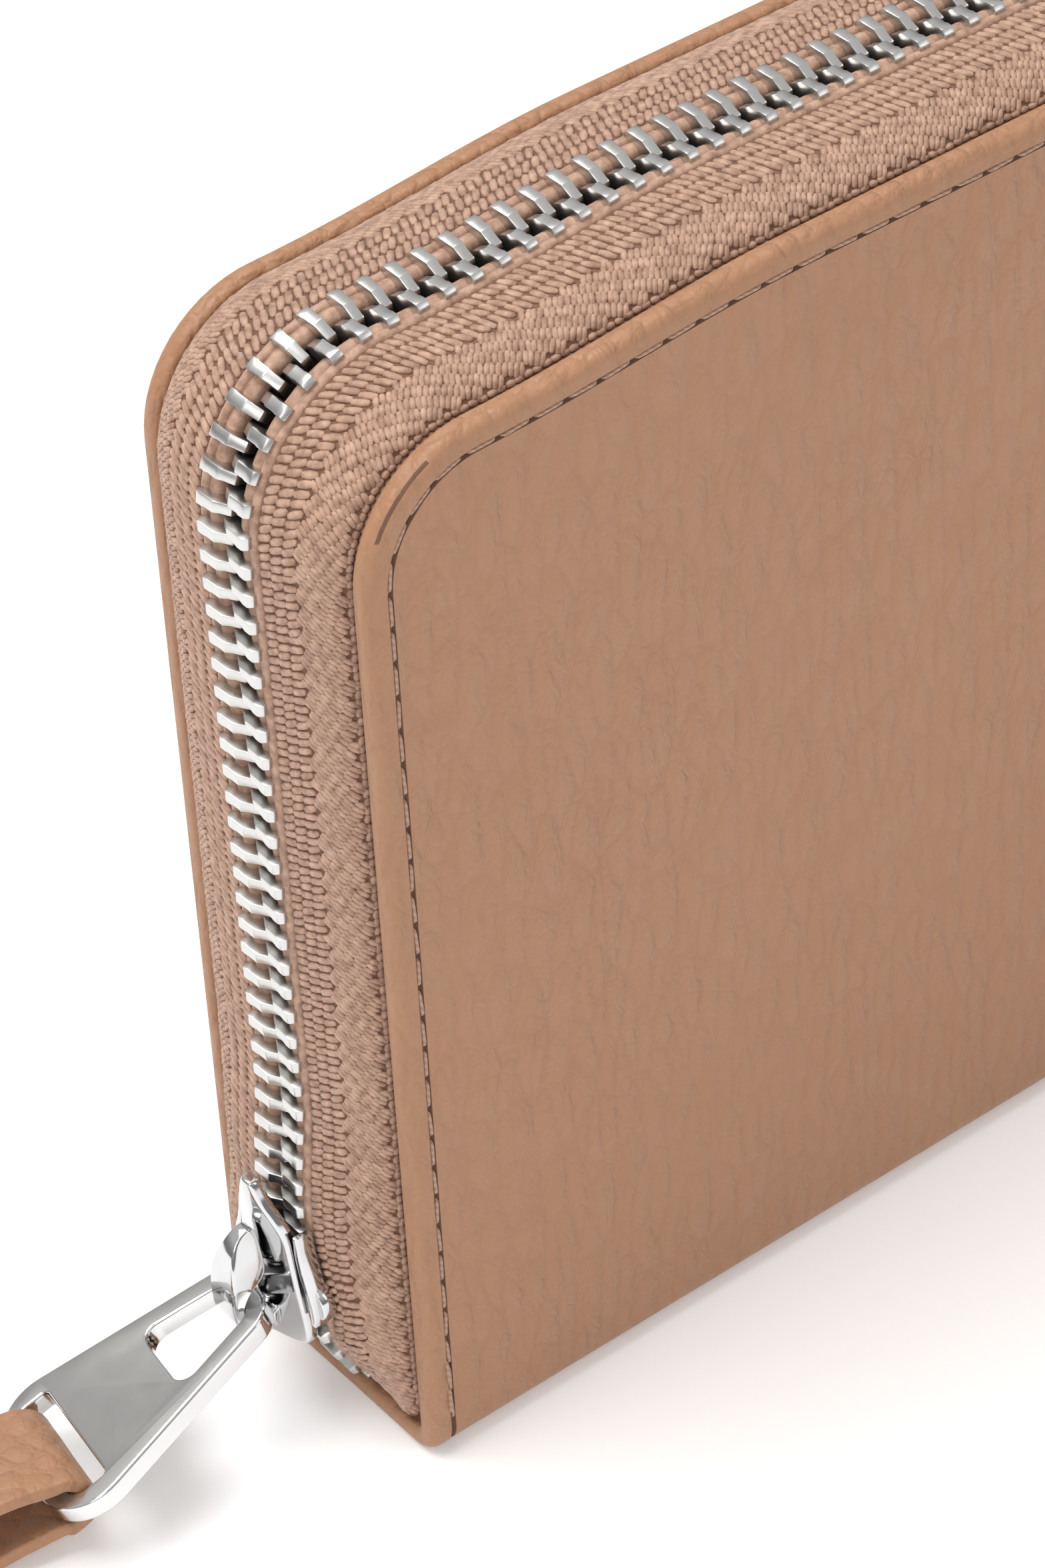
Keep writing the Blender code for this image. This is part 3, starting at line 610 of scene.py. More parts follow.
def metal_finish(name, color, roughness, grain, scratches, depth=0.00001):
    """Metal with fine drawn lines and small scratches that change its gloss."""
    material = finish_material(name, color, roughness, 1.0)
    lines = noise_of(material, object_pattern(material, grain), 1.0, 4.0, 0.65)
    cloud = noise_of(material, object_pattern(material), 420.0, 3.0)
    relief(material, [(lines, scratches, depth)])
    worn = arithmetic(material, "MULTIPLY", lines, cloud)
    low = max(roughness * 0.88, 0.02)
    wire(material, ramp(material, worn, 0.10, 0.45, low, roughness * 1.12), "Roughness")
    tint(material, cloud, tuple(part * 0.96 for part in color), color)
    return material


# LEATHER_DARK serves both the leather's random tone and the painted shade along its grain's creases.
LEATHER_LIGHT = (0.392, 0.200, 0.107)
LEATHER_DARK = (0.240, 0.112, 0.056)
leather = leather_finish("tan_pebbled_leather", LEATHER_LIGHT, LEATHER_DARK, 0.0020, 0.00022)
inner_leather = leather_finish("tan_inner_leather", (0.40, 0.215, 0.130), (0.28, 0.14, 0.08), 0.0013, 0.00008)
thread = finish_material("tan_thread", (0.34, 0.18, 0.115), 0.6, Sheen_Weight=0.2)
thread_twist = add_node(thread, "TexWave", [("Vector", object_pattern(thread))], Scale=900.0,
                        Distortion=1.5, bands_direction="DIAGONAL")
relief(thread, [(thread_twist.outputs["Fac"], 0.35, 0.00006)])
tint(thread, thread_twist.outputs["Fac"], (0.33, 0.18, 0.115), (0.44, 0.26, 0.175))
# Painted shade: the sewn groove round each panel is coloured dark where shade falls beside the stitches.
channel = mottled("stitch_channel_shade", (0.13, 0.06, 0.036), 0.7, 800.0, (0.09, 0.04, 0.025), (0.20, 0.10, 0.06))
weave = finish_material("woven_tape_threads", (0.52, 0.31, 0.205), 0.6, Sheen_Weight=0.12,
                        Specular_IOR_Level=0.45)
weave_shade = ramp(weave, noise_of(weave, object_pattern(weave), 1300.0, 2.0), 0.3, 0.72)
tint(weave, weave_shade, (0.30, 0.167, 0.110), (0.54, 0.340, 0.242))
relief(weave, [(noise_of(weave, object_pattern(weave, (9000, 9000, 5000)), 1.0, 2.0), 0.7, 0.00007)])
# Painted shade: the ground under the raised threads is coloured dark brown so that the gaps between threads
# read as shade.
tape_ground_shade = mottled("woven_tape_ground_shade", (0.19, 0.092, 0.055), 0.9, 1500.0, (0.12, 0.055, 0.035),
                      (0.26, 0.135, 0.085))
lining = cloth_finish("tan_lining_weave", (0.36, 0.22, 0.145), (0.21, 0.12, 0.075), 0.0007, 0.0007)
inner_tape = cloth_finish("inner_tape_weave", (0.36, 0.20, 0.13), (0.20, 0.10, 0.06), 0.0008, 0.0006)
nickel = metal_finish("worn_nickel_teeth", (0.64, 0.63, 0.61), 0.30, (3000, 700, 700), 0.10)
chrome = metal_finish("polished_slider_metal", (0.66, 0.66, 0.665), 0.09, (900, 900, 900), 0.05)
satin = metal_finish("satin_tab_face", (0.60, 0.59, 0.57), 0.33, (600, 9000, 9000), 0.02)
polished_edge = metal_finish("polished_tab_edge", (0.72, 0.72, 0.72), 0.10, (600, 600, 600), 0.04)
inner_metal = metal_finish("inner_zip_metal", (0.62, 0.61, 0.59), 0.24, (900, 900, 900), 0.2)
nylon = finish_material("inner_zip_nylon", (0.24, 0.125, 0.075), 0.38)
relief(nylon, [(noise_of(nylon, object_pattern(nylon), 4000.0), 0.2, 0.00003)])
card = mottled("fibre_board", (0.42, 0.36, 0.28), 0.9, 700.0, (0.36, 0.31, 0.24), (0.47, 0.41, 0.33))


# ---------------------------------------------------------------- outer leather

SPINE_FLAT = FACE - FOLD_RADIUS
PANEL_START = SPINE_FLAT + FOLD_RADIUS * math.pi / 2
FLAT_HALF = PANEL_START + (HEIGHT - TOP_RISE) - FOLD_RADIUS


def fold_leather(points):
    """Fold the flat leather (x, run from the spine's middle, depth from the outer face) round the spine."""
    x, run, depth = points[:, 0], points[:, 1], points[:, 2]
    side = np.sign(run)
    far = np.abs(run)
    angle = np.clip((far - SPINE_FLAT) / FOLD_RADIUS, 0, math.pi / 2)
    reach = FOLD_RADIUS - depth
    y = np.minimum(far, SPINE_FLAT) + reach * np.sin(angle)
    z = FOLD_RADIUS - reach * np.cos(angle) + np.maximum(far - PANEL_START, 0)
    z = z + top_rise(x) * step_smooth((z - 0.055) / 0.035)
    return np.stack([x, side * y, z], 1)


def swell(points):
    """Raise the padded middle of each panel a little and give the leather a slight unevenness."""
    x, run, depth = points[:, 0], points[:, 1], points[:, 2].copy()
    to_side = WIDTH / 2 - np.abs(x)
    to_top = FLAT_HALF - np.abs(run)
    to_edge = np.minimum(to_side, to_top)
    on_panel = step_smooth((np.abs(run) - PANEL_START - 0.001) / 0.008)
    outer = depth < 0.0009
    crown = 0.00035 * step_smooth((to_edge - 0.0026) / 0.009) * on_panel
    uneven = np.array([noise.noise(Vector((a * 38, b * 38, 0.3))) for a, b in zip(x, run)])
    inside = step_smooth((to_edge - 0.004) / 0.01) * on_panel
    depth = depth - outer * (crown + 0.00010 * uneven * inside)
    return np.stack([x, run, depth], 1)


def leather_blank():
    """The one piece of outer leather, flat: rounded corners, rolled rim and a sewn channel inside it."""
    blank = block("leather_blank", (-WIDTH / 2, -FLAT_HALF, 0), (WIDTH / 2, FLAT_HALF, LEATHER))
    choose(blank, "EDGE", lambda middle, run: abs(run.z) > 0.001)
    bpy.ops.mesh.bevel(offset=CORNER_RADIUS, segments=14, affect="EDGES")
    leave_edit()
    choose(blank, "EDGE", lambda middle, run: middle.z < 0.00001)
    bpy.ops.mesh.bevel(offset=0.0010, segments=5, affect="EDGES")
    leave_edit()
    choose(blank, "EDGE", lambda middle, run: middle.z > LEATHER - 0.00001)
    bpy.ops.mesh.bevel(offset=0.0007, segments=3, affect="EDGES")
    leave_edit()
    choose(blank, "FACE", lambda middle, normal: normal.z < -0.99)
    for thickness, depth in ((0.00086, 0.0), (0.00010, -0.00030), (0.00028, 0.0), (0.00014, 0.00026),
                             (0.0012, 0.0)):
        bpy.ops.mesh.inset(thickness=thickness, depth=depth)
    leave_edit()
    folds = [side * (SPINE_FLAT + FOLD_RADIUS * math.pi / 2 * step / 8)
             for step in range(9) for side in (-1, 1)]
    panels = [side * (PANEL_START + 0.0028 * step) for step in range(1, 35) for side in (-1, 1)]
    slice_across(blank, 1, folds + panels + [0.0, -0.0056, 0.0056])
    slice_evenly(blank, 0, LEFT, WIDTH / 2, 60)
    recess_side = WIDTH / 2 - 0.008
    recess_low = PANEL_START + 0.0065
    recess_high = FLAT_HALF - 0.0085
    choose(blank, "FACE", lambda middle, normal: normal.z > 0.99 and abs(middle.x) < recess_side
           and recess_low < abs(middle.y) < recess_high)
    bpy.ops.mesh.inset(thickness=0.0002, depth=-0.0009)
    leave_edit()
    return blank


def outer_leather():
    """Front panel, spine and back panel, folded round the spine and cut in two near the spine's back edge."""
    blank = leather_blank()
    # The faces of the sewn groove get the dark stitch channel colour, which is painted shade in the groove.
    channel_faces = []
    for face in blank.data.polygons:
        middle = face.center
        inset = min(WIDTH / 2 - abs(middle.x), FLAT_HALF - abs(middle.y))
        channel_faces.append(face.normal.z < 0 and 0.00012 < middle.z < 0.00036 and inset > 0.0015)
    blank.data.materials.append(leather)
    blank.data.materials.append(channel)
    for face, inside in zip(blank.data.polygons, channel_faces):
        face.material_index = 1 if inside else 0
    move_points(blank, swell)
    move_points(blank, fold_leather)
    blank.data.update()
    activate(blank)
    bpy.ops.object.duplicate()
    back = bpy.context.object
    seam = 0.0090
    for piece, name, outer in ((blank, "front_leather", True), (back, "back_leather", False)):
        piece.name = name
        choose(piece, "VERT", lambda middle, part: True)
        bpy.ops.mesh.bisect(plane_co=(0, seam, 0), plane_no=(0, 1, 0), use_fill=True, clear_outer=outer,
                            clear_inner=not outer)
        leave_edit()
        close_up(piece)
        soften(piece, 40)
    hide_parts("front_cover", "spine_cover")
    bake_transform(blank)
    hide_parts("back_cover")
    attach(back, "back_half")


def corner_arc(inset, steps, first=0):
    """Points x, z round a panel's upper left corner, at one inset from the edge."""
    reach = CORNER_RADIUS - inset
    angles = [math.pi / 2 * step / steps for step in range(first, steps + 1)]
    return [(LEFT + CORNER_RADIUS - reach * math.cos(angle), CORNER_HEIGHT + reach * math.sin(angle))
            for angle in angles]


def stitch_path(inset):
    """Points x, z round a panel from its lower left to its lower right, at one inset from the edge."""
    points = [(LEFT + inset, STITCH_START + (CORNER_HEIGHT - STITCH_START) * step / 60) for step in range(61)]
    points += corner_arc(inset, 24, 1)
    for step in range(1, 61):
        x = LEFT + CORNER_RADIUS + (WIDTH / 2 - CORNER_RADIUS) * step / 60
        points.append((x, HEIGHT - TOP_RISE - inset + float(top_rise(x))))
    return np.array(points + [(-x, z) for x, z in reversed(points[:-1])])


def places_along(points, spacing):
    """Even places and directions along a line of points."""
    runs = path_runs(points)
    count = int(runs[-1] / spacing)
    at = (np.arange(count) + 0.5) * runs[-1] / count
    direction = path_at(points, runs, at + 0.0003) - path_at(points, runs, at - 0.0003)
    return path_at(points, runs, at), direction / np.linalg.norm(direction, axis=1)[:, None]


def stitch_master(length, thickness):
    """One stitch of thread, its ends diving into the leather."""
    bpy.ops.object.select_all(action="DESELECT")
    bpy.ops.mesh.primitive_cylinder_add(vertices=8, radius=thickness / 2, depth=length * 0.62,
                                        rotation=(0, math.pi / 2, 0))
    master = settle(bpy.context.object)
    for sign in (-1, 1):
        for push, drop, scale in ((0.13, 0.10, 0.95), (0.10, 0.45, 0.7)):
            choose(master, "FACE", lambda middle, normal: normal.x * sign > 0.75 and middle.x * sign > 0)
            bpy.ops.mesh.extrude_region_move(TRANSFORM_OT_translate={
                "value": (sign * length * push, 0, -thickness * drop)})
            bpy.ops.transform.resize(value=(scale, scale, scale))
            leave_edit()
    return master


def panel_stitches(side):
    """The sewn line round a panel, doubled over the first few stitches at each lower end."""
    master = stitch_master(STITCH_SPACING * 0.80, 0.00036)
    places, direction = places_along(stitch_path(STITCH_INSET), STITCH_SPACING)
    doubled = [index for index in range(len(places)) if index < 2 or index >= len(places) - 2]
    origins = [(x, side * (FACE - 0.00014), z) for x, z in places]
    along = [(x, 0.0, z) for x, z in direction]
    for index in doubled:
        x, z = places[index]
        origins.append((x + 0.00020 * np.sign(x), side * (FACE + 0.00004), z + 0.0009))
        along.append(along[index])
    along = np.array(along)
    lean = np.random.default_rng(4).uniform(-0.07, 0.07, len(along))
    turned = np.stack([along[:, 0] - lean * along[:, 2], along[:, 1], along[:, 2] + lean * along[:, 0]], 1)
    out = np.tile([0.0, side, 0.0], (len(along), 1))
    across = np.cross(out, turned)
    piece = repeat(f"{WORD[side]}_panel_stitches", master, origins, turned, across, out)
    discard(master)
    soften(piece, 60)
    dress(piece, BODY[side], thread, "tan_leather")


# ---------------------------------------------------------------- zip

def tape_cloth(side):
    """Ground of one tape, from the teeth out to where it is sewn in behind the leather."""
    whole = chain_length()
    width = TAPE_RUN[-1]

    def place(u, v):
        share = u if side == BACK else 1 - u
        return tape_place(side, share * whole, v * width)

    # Its dark colour is painted shade for the gaps between the tape's threads.
    sheet = grid_sheet(f"{WORD[side]}_tape_ground_shade", 300, 26, place)
    thicken(sheet, 0.00045, 60, -1.0, 0.000002)
    dress(sheet, BODY[side], tape_ground_shade, "zip_tape", f"{WORD[side]}_tape")


def weave_threads(length, chance):
    """Threads of the tape: place along, run across, turn from the chain's direction, length and width."""
    threads = []
    brick, row = 0.00135, 0.00079
    for column in range(3):
        run = 0.00055 + brick * (column + 0.5)
        for number in range(int(length / row)):
            threads.append(((number + (0.0, 0.5, 0.15)[column]) * row, run, 1.05, 0.00172, 0.00074))
    lean, rib, beside = math.radians(62), 0.00090, 0.00046
    start, stop = 0.0048, 0.0086
    for number in range(-4, int(length / (rib / math.cos(lean))) + 1):
        for step in range(int((stop - start) / (beside * math.cos(lean))) + 1):
            run = start + beside * math.cos(lean) * step
            place = number * rib / math.cos(lean) + (run - start) * math.tan(lean)
            threads.append((place, run, -0.98, 0.00122, 0.00058))
    for column, run in enumerate((0.0089, 0.0095, 0.0102)):
        for number in range(int(length / 0.00084)):
            threads.append(((number + 0.5 * (column % 2)) * 0.00084, run, 0.15, 0.00092, 0.00062))
    threads = np.array(threads)
    count = len(threads)
    threads[:, 0] += chance.uniform(-0.00005, 0.00005, count)
    threads[:, 1] += chance.uniform(-0.00004, 0.00004, count)
    threads[:, 2] += chance.uniform(-0.14, 0.14, count)
    return threads[(threads[:, 0] > 0.0004) & (threads[:, 0] < length - 0.0004)]


def tape_threads(side):
    """The tape's raised weave: bricks beside the teeth, then leaning ribs, then plain edge threads."""
    bpy.ops.object.select_all(action="DESELECT")
    bpy.ops.mesh.primitive_uv_sphere_add(segments=6, ring_count=4, radius=0.5, rotation=(0, math.pi / 2, 0))
    master = settle(bpy.context.object)
    move_points(master, lambda points: np.sign(points) * 0.5 * np.abs(2 * points) ** 0.82)
    chance = np.random.default_rng(11 + side)
    threads = weave_threads(chain_length(), chance)
    place, run, turn = threads[:, 0], threads[:, 1], threads[:, 2]
    origins = tape_place(side, place, run, 0.00003)
    along = tape_place(side, place + 0.0002, run) - tape_place(side, place - 0.0002, run)
    across = tape_place(side, place, run + 0.0001) - tape_place(side, place, run - 0.0001)
    stretch = np.linalg.norm(along, axis=1) / 0.0004
    along /= np.linalg.norm(along, axis=1)[:, None]
    across /= np.linalg.norm(across, axis=1)[:, None]
    out = np.cross(along, across)
    flip = np.sign(np.sum(out * (origins - np.array([0, 0, 0.05])), 1))
    out = out * flip[:, None]
    turned = along * np.cos(turn)[:, None] + across * np.sin(turn)[:, None]
    beside = np.cross(out, turned)
    sizes = np.stack([threads[:, 3] * (1 + (stretch - 1) * np.abs(np.cos(turn))), threads[:, 4],
                      0.00044 * chance.uniform(0.85, 1.15, len(place))], 1)
    piece = repeat(f"{WORD[side]}_tape_threads", master, origins, turned, beside, out, sizes)
    discard(master)
    activate(piece)
    bpy.ops.object.shade_smooth()
    dress(piece, BODY[side], weave, "zip_tape")


def tooth_master():
    """One tooth: x along the chain, y towards its root, z outward."""
    half = TOOTH_THICKNESS / 2
    tooth = block("tooth", (-0.00054, -TOOTH_HEAD, -half), (0.00054, TOOTH_ROOT, half))
    slice_across(tooth, 1, [0.0004, 0.0009, 0.0019, 0.0022, 0.0028])

    def shape(points):
        moved = points.copy()
        run, top = points[:, 1], points[:, 2] > 0
        head, neck = run < 0.00045, (run > 0.00085) & (run < 0.0020)
        moved[head, 0] *= 0.84
        moved[neck, 0] *= 0.92
        moved[top & neck, 2] -= 0.00006
        moved[top & (run < 0), 2] -= 0.00085
        moved[top & head & (run > 0), 2] -= 0.00042
        moved[top & (run > 0.0030), 2] -= 0.00040
        moved[~top & (run < 0), 2] += 0.0003
        return moved

    move_points(tooth, shape)
    return round_edges(tooth, 0.00010, 2, 28)


def tooth_row(side):
    count = int((chain_length() - PITCH) / PITCH)
    shift = 0.5 if side == FRONT else 1.0
    origins, along, across, out = chain_frame((np.arange(count) + shift) * PITCH, side)
    chance = np.random.default_rng(23 + side)
    tilt = chance.uniform(-0.035, 0.035, (count, 1))
    along = along + across * tilt
    along /= np.linalg.norm(along, axis=1)[:, None]
    across = np.cross(out, along)
    master = tooth_master()
    piece = repeat(f"{WORD[side]}_zip_teeth", master, origins, along, across, out)
    discard(master)
    soften(piece, 30)
    dress(piece, BODY[side], nickel, "nickel_teeth", f"{WORD[side]}_teeth")


def tape_bead(side):
    """The cords that the teeth are clamped on: one beside their roots, one between them."""
    distances = np.linspace(0.0004, chain_length() - 0.0004, 260)
    for word, across, drop, radius in (("bead", 0.0030, 0.0001, 0.0005), ("cord", 0.0020, 0.0005, 0.0008)):
        x, z = edge_place(distances, CHAIN_OUT + raised_at(distances) - drop)
        points = [(a, side * (across + float(b)), c) for a, b, c in zip(x, spread_at(distances), z)]
        tube(f"{WORD[side]}_tape_{word}", points, radius, BODY[side], weave, "zip_tape")


def tube(name, points, radius, body, material, slot, *nodes, resolution=2):
    """A round cord through the points, its ends closed."""
    curve = bpy.data.curves.new(name, "CURVE")
    curve.dimensions = "3D"
    curve.bevel_depth = radius
    curve.bevel_resolution = resolution
    curve.use_fill_caps = True
    spline = curve.splines.new("POLY")
    spline.points.add(len(points) - 1)
    for place, point in zip(points, spline.points):
        point.co = (*place, 1)
    activate(add_object(name, curve))
    bpy.ops.object.convert(target="MESH")
    piece = close_up(bpy.context.object, 0.0000005)
    soften(piece, 60)
    return dress(piece, body, material, slot, *nodes)


# ---------------------------------------------------------------- slider, tab and pull leather

# Height and half width of the slider's face, in millimetres
PLATE_WIDTHS = ((9.2, 0.0), (9.15, 2.8), (9.35, 4.0), (10.2, 4.35), (12.2, 4.2), (15.0, 3.8), (18.0, 3.35),
                (20.6, 2.95), (22.4, 2.2), (24.0, 1.4), (25.3, 0.85), (25.75, 0.55), (25.8, 0.0))


def shield(top=25.8):
    """Outline (y, z) of a slider plate: broad at the mouth, narrow at the top."""
    points = [(half * MM, min(height, top) * MM)
              for height, half in PLATE_WIDTHS if height <= top or not half]
    right = [(max(x, 0.0), y) for x, y in smooth_outline(points, 3)]
    return right + [(-y, z) for y, z in reversed(right[1:-1])]


def roof(points):
    """Slope the plate down from a ridge along its middle, and lift its narrow end."""
    moved = points.copy()
    y, z = points[:, 1], points[:, 2]
    moved[:, 0] += 0.30 * (np.sqrt(y * y + 0.0004 ** 2) - 0.0004) - 0.0004
    moved[:, 0] -= 0.0006 * step_smooth((z - 0.019) / 0.006)
    return moved


def side_wall(name, side, low, high, out, inner, thick):
    """A guide wall along one side of the chain, following the rows where they spread."""
    near, far = [], []
    for step in range(17):
        height = low + (high - low) * step / 16
        across = TOOTH_ROOT + 0.0003 + float(spread_at(np.array(height - ZIP_START)))
        ease = thick * math.sin(math.pi * min(max(step / 16, 0.02), 0.98)) ** 0.3
        near.append((side * across, height))
        far.append((side * (across + 0.0002 + ease), height))
    return cut_plate(name, [near + far[::-1]], inner - out, 0.00022, OUTWARD,
                     Vector(((out + inner) / 2, 0, 0)))


def join(name, pieces):
    """Several shapes as one named piece."""
    bpy.ops.object.select_all(action="DESELECT")
    for piece in pieces:
        piece.select_set(True)
    bpy.context.view_layer.objects.active = pieces[0]
    bpy.ops.object.join()
    piece = bpy.context.object
    piece.name = name
    return piece


def slider_body():
    """The two plates, the guide walls and the wedge that parts the rows."""
    face = cut_plate("slider_face", [shield()], PLATE, 0.00030, OUTWARD,
                     Vector((PLATE_OUT - PLATE / 2, 0, 0)), 3)
    slice_across(face, 1, [side * step * 0.0006 for step in range(1, 8) for side in (-1, 1)] + [0.0])
    slice_across(face, 2, [0.011 + 0.001 * step for step in range(14)])
    move_points(face, roof)
    inner = cut_plate("slider_inner", [shield(21.0)], 0.0008, 0.0002, OUTWARD,
                      Vector((INNER_PLATE_X + 0.0004, 0, 0)))
    parts = [face, inner]
    walls = (("outer_wall", 0.0122, 0.0208, PLATE_OUT - 0.0004, SLIDER_CENTRE - 0.0004, 0.0006),
             ("inner_wall", 0.0128, 0.0200, SLIDER_CENTRE + 0.0005, INNER_PLATE_X + 0.0002, 0.0004),
             ("wall_boss", 0.0128, 0.0158, PLATE_OUT + 0.0002, SLIDER_CENTRE - 0.0002, 0.0011))
    for side in (FRONT, BACK):
        for name, *sizes in walls:
            parts.append(side_wall(name, side, *sizes))
    low = SLIDER_BOTTOM + 0.0016
    wedge = [(0.0005, low), (0.0008, low + 0.0015), (0.0002, low + 0.0038), (-0.0002, low + 0.0038),
             (-0.0008, low + 0.0015), (-0.0005, low)]
    parts.append(cut_plate("slider_wedge", [wedge], 0.0036, 0.0001, OUTWARD,
                           Vector((SLIDER_CENTRE - 0.0002, 0, 0))))
    body = join("slider_plates", parts)
    soften(body, 32)
    dress(body, "slider", chrome, "polished_metal", "slider_body")


def slider_crown():
    """The hooked crown that holds the tab's bar, open beside its nose."""
    outer = [(-0.2, 10.3), (1.0, 10.2), (2.2, 10.55), (3.2, 11.5), (3.8, 13.0), (3.95, 15.0), (3.8, 17.2),
             (3.35, 19.0), (2.6, 20.3), (1.7, 20.95), (1.0, 21.0), (0.60, 20.6), (0.50, 19.8), (0.50, 18.6),
             (0.55, 17.0)]
    inside = [(1.0, 16.2), (1.75, 15.6), (2.4, 14.9), (2.8, 14.0), (2.85, 13.0), (2.55, 12.2), (2.0, 11.75),
              (1.3, 11.65), (0.6, 11.95), (0.0, 12.4), (-0.2, 12.5)]
    line = smooth_outline([(out * MM, height * MM) for out, height in outer + inside], 4)
    crown = cut_plate("slider_crown_hook", [line], 0.0034, 0.00036, SIDEWAYS,
                      Vector((PLATE_OUT - PLATE - 0.0002, 0, 0)), 3)
    slice_across(crown, 2, [0.0160 + 0.0005 * step for step in range(10)])

    def narrowed(points):
        moved = points.copy()
        moved[:, 1] *= 1 - 0.62 * step_smooth((points[:, 2] - 0.0160) / 0.0052) ** 1.4
        return moved

    move_points(crown, narrowed)
    soften(crown, 32)
    dress(crown, "slider", chrome, "polished_metal", "slider_crown")


def tab_half_width(along):
    return 0.0041 + 0.235 * along


def pull_tab():
    """Tapered tab with a window for the crown and a slot for the leather."""
    end, start = tab_half_width(TAB_END), tab_half_width(-TAB_BAR)
    outline = rounded([(-TAB_BAR, -start), (TAB_END, -end), (TAB_END, end), (-TAB_BAR, start)],
                      (0.0026, 0.0045, 0.0045, 0.0026), 12)
    near, far = tab_half_width(TAB_BAR) - TAB_RAIL, tab_half_width(WINDOW_END) - TAB_RAIL
    window = rounded([(TAB_BAR, -near), (WINDOW_END, -far), (WINDOW_END, far), (TAB_BAR, near)],
                     (0.0009, 0.0014, 0.0014, 0.0009))
    wide = tab_half_width(SLOT_START) - TAB_RAIL
    slot = rounded([(SLOT_START, -wide), (SLOT_END, -wide), (SLOT_END, wide), (SLOT_START, wide)],
                   (0.0005, 0.0014, 0.0014, 0.0005))
    tab = cut_plate("puller_tab", [outline, window, slot], TAB_THICKNESS, 0.00027,
                    (TAB_ALONG, TAB_ACROSS, TAB_NORMAL), BAR_CENTRE, 3)
    soften(tab, 32)
    tab.data.materials.append(satin)
    tab.data.materials.append(polished_edge)
    for face in tab.data.polygons:
        face.material_index = 0 if abs(face.normal.dot(TAB_NORMAL)) > 0.995 else 1
    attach(tab, "pull_tab")
    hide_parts("pull_tab")


def strap_line():
    """Centre line of the pull leather, over the tab's end bar and back."""
    bar = BAR_CENTRE + TAB_ALONG * (SLOT_END + TAB_END) / 2
    radius = math.hypot((TAB_END - SLOT_END) / 2, TAB_THICKNESS / 2) + 0.00035 + STRAP / 2
    up = Vector((0, 0, 1))
    low = 0.00002 + STRAP / 2 - bar.z
    high = low + STRAP + 0.0004
    turn = [bar + (up * math.sin(math.radians(angle)) - STRAP_AWAY * math.cos(math.radians(angle))) * radius
            for angle in range(100, -90, -20)]
    upper = [bar + STRAP_AWAY * STRAP_LENGTH + up * high, bar + STRAP_AWAY * 0.0272 + up * high,
             bar + STRAP_AWAY * 0.016 + up * (high + 0.0007), bar + STRAP_AWAY * 0.0088 + up * (radius * 0.75)]
    lower = [bar + STRAP_AWAY * 0.0061 + up * (low + 0.0005), bar + STRAP_AWAY * 0.0128 + up * low,
             bar + STRAP_AWAY * STRAP_LENGTH + up * low]
    return smooth_line(upper + turn + lower, 8), bar


def pull_leather():
    """Leather strip doubled through the tab's slot, creased where it bends."""
    line, bar = strap_line()
    points = np.array([tuple(point) for point in line])
    runs = path_runs(points)
    level = STRAP_AWAY.cross(Vector((0, 0, -1)))

    def place(u, v):
        placed = []
        for share, side in zip(u, v):
            run = share * runs[-1]
            middle = Vector(path_at(points, runs, run))
            slope = path_at(points, runs, run + 0.0002) - path_at(points, runs, run - 0.0002)
            ahead = Vector(slope).normalized()
            far = (middle - bar).dot(STRAP_AWAY)
            near = 1 - float(step_smooth((far - 0.0025) / 0.008))
            width = level.lerp(TAB_ACROSS, near)
            width = (width - ahead * width.dot(ahead)).normalized()
            out = ahead.cross(width)
            tip = max(far - STRAP_LENGTH + 0.003, 0) / 0.003
            narrow = 1 - 0.22 * tip ** 2
            crease = math.exp(-((far - 0.004) / 0.006) ** 2)
            wave = noise.noise(Vector((run * 420, side * 2.2, 0.7))) * 0.00016 * crease
            crown = 0.00012 * (1 - (2 * side - 1) ** 2)
            placed.append(middle + width * (side - 0.5) * STRAP_WIDTH * narrow - out * (wave + crown))
        return np.array([tuple(point) for point in placed])

    strap = grid_sheet("puller_leather", 170, 14, place)
    finish_with(strap, "SOLIDIFY", thickness=STRAP, offset=0.0)
    round_edges(strap, 0.00026, 3, 60)
    close_up(strap, 0.0000005)
    soften(strap, 40)
    dress(strap, "pull_strap", leather, "tan_leather", "pull_strap")


outer_leather()
for side in (FRONT, BACK):
    panel_stitches(side)
    tape_cloth(side)
    tape_threads(side)
    tape_bead(side)
    tooth_row(side)
slider_body()
slider_crown()
pull_tab()
pull_leather()


# ---------------------------------------------------------------- interior

def panel_outline(inset, bottom):
    """Closed outline (x, z) of a half at an inset from the edge."""
    left = [(LEFT + inset, bottom)] + corner_arc(inset, 12)
    for step in range(1, 7):
        x = LEFT + CORNER_RADIUS + RISE_LENGTH * step / 6
        left.append((x, HEIGHT - TOP_RISE + float(top_rise(x)) - inset))
    return left + [(-x, z) for x, z in reversed(left)]


def soft_panel(name, node, radii, rounding, cells, bow, material, slot, body):
    """A sheet in a frame node's box with rounded corners and edges, bowed a little in each of its cells."""
    low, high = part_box(node)
    side = 1 if (low + high).y > 0 else -1
    outline = rounded([(low.x, low.z), (high.x, low.z), (high.x, high.z), (low.x, high.z)], radii, 6)
    middle = (low.y + high.y) / 2
    sheet = cut_plate(name, [outline], high.y - low.y, rounding, UPRIGHT, Vector((0, middle, 0)))
    width, height = high.x - low.x, high.z - low.z
    slice_evenly(sheet, 0, low.x, high.x, 28)
    slice_evenly(sheet, 2, low.z, high.z, 10)

    def swollen(points):
        moved = points.copy()
        share = (points[:, 0] - low.x) / width * cells
        up = np.clip((points[:, 2] - low.z) / height, 0, 0.85)
        bulge = side * bow * np.abs(np.sin(math.pi * share)) ** 0.7
        moved[:, 1] -= bulge * np.sin(math.pi * up) ** 0.8
        return moved

    move_points(sheet, swollen)
    soften(sheet, 40)
    return dress(sheet, body, material, slot, node)


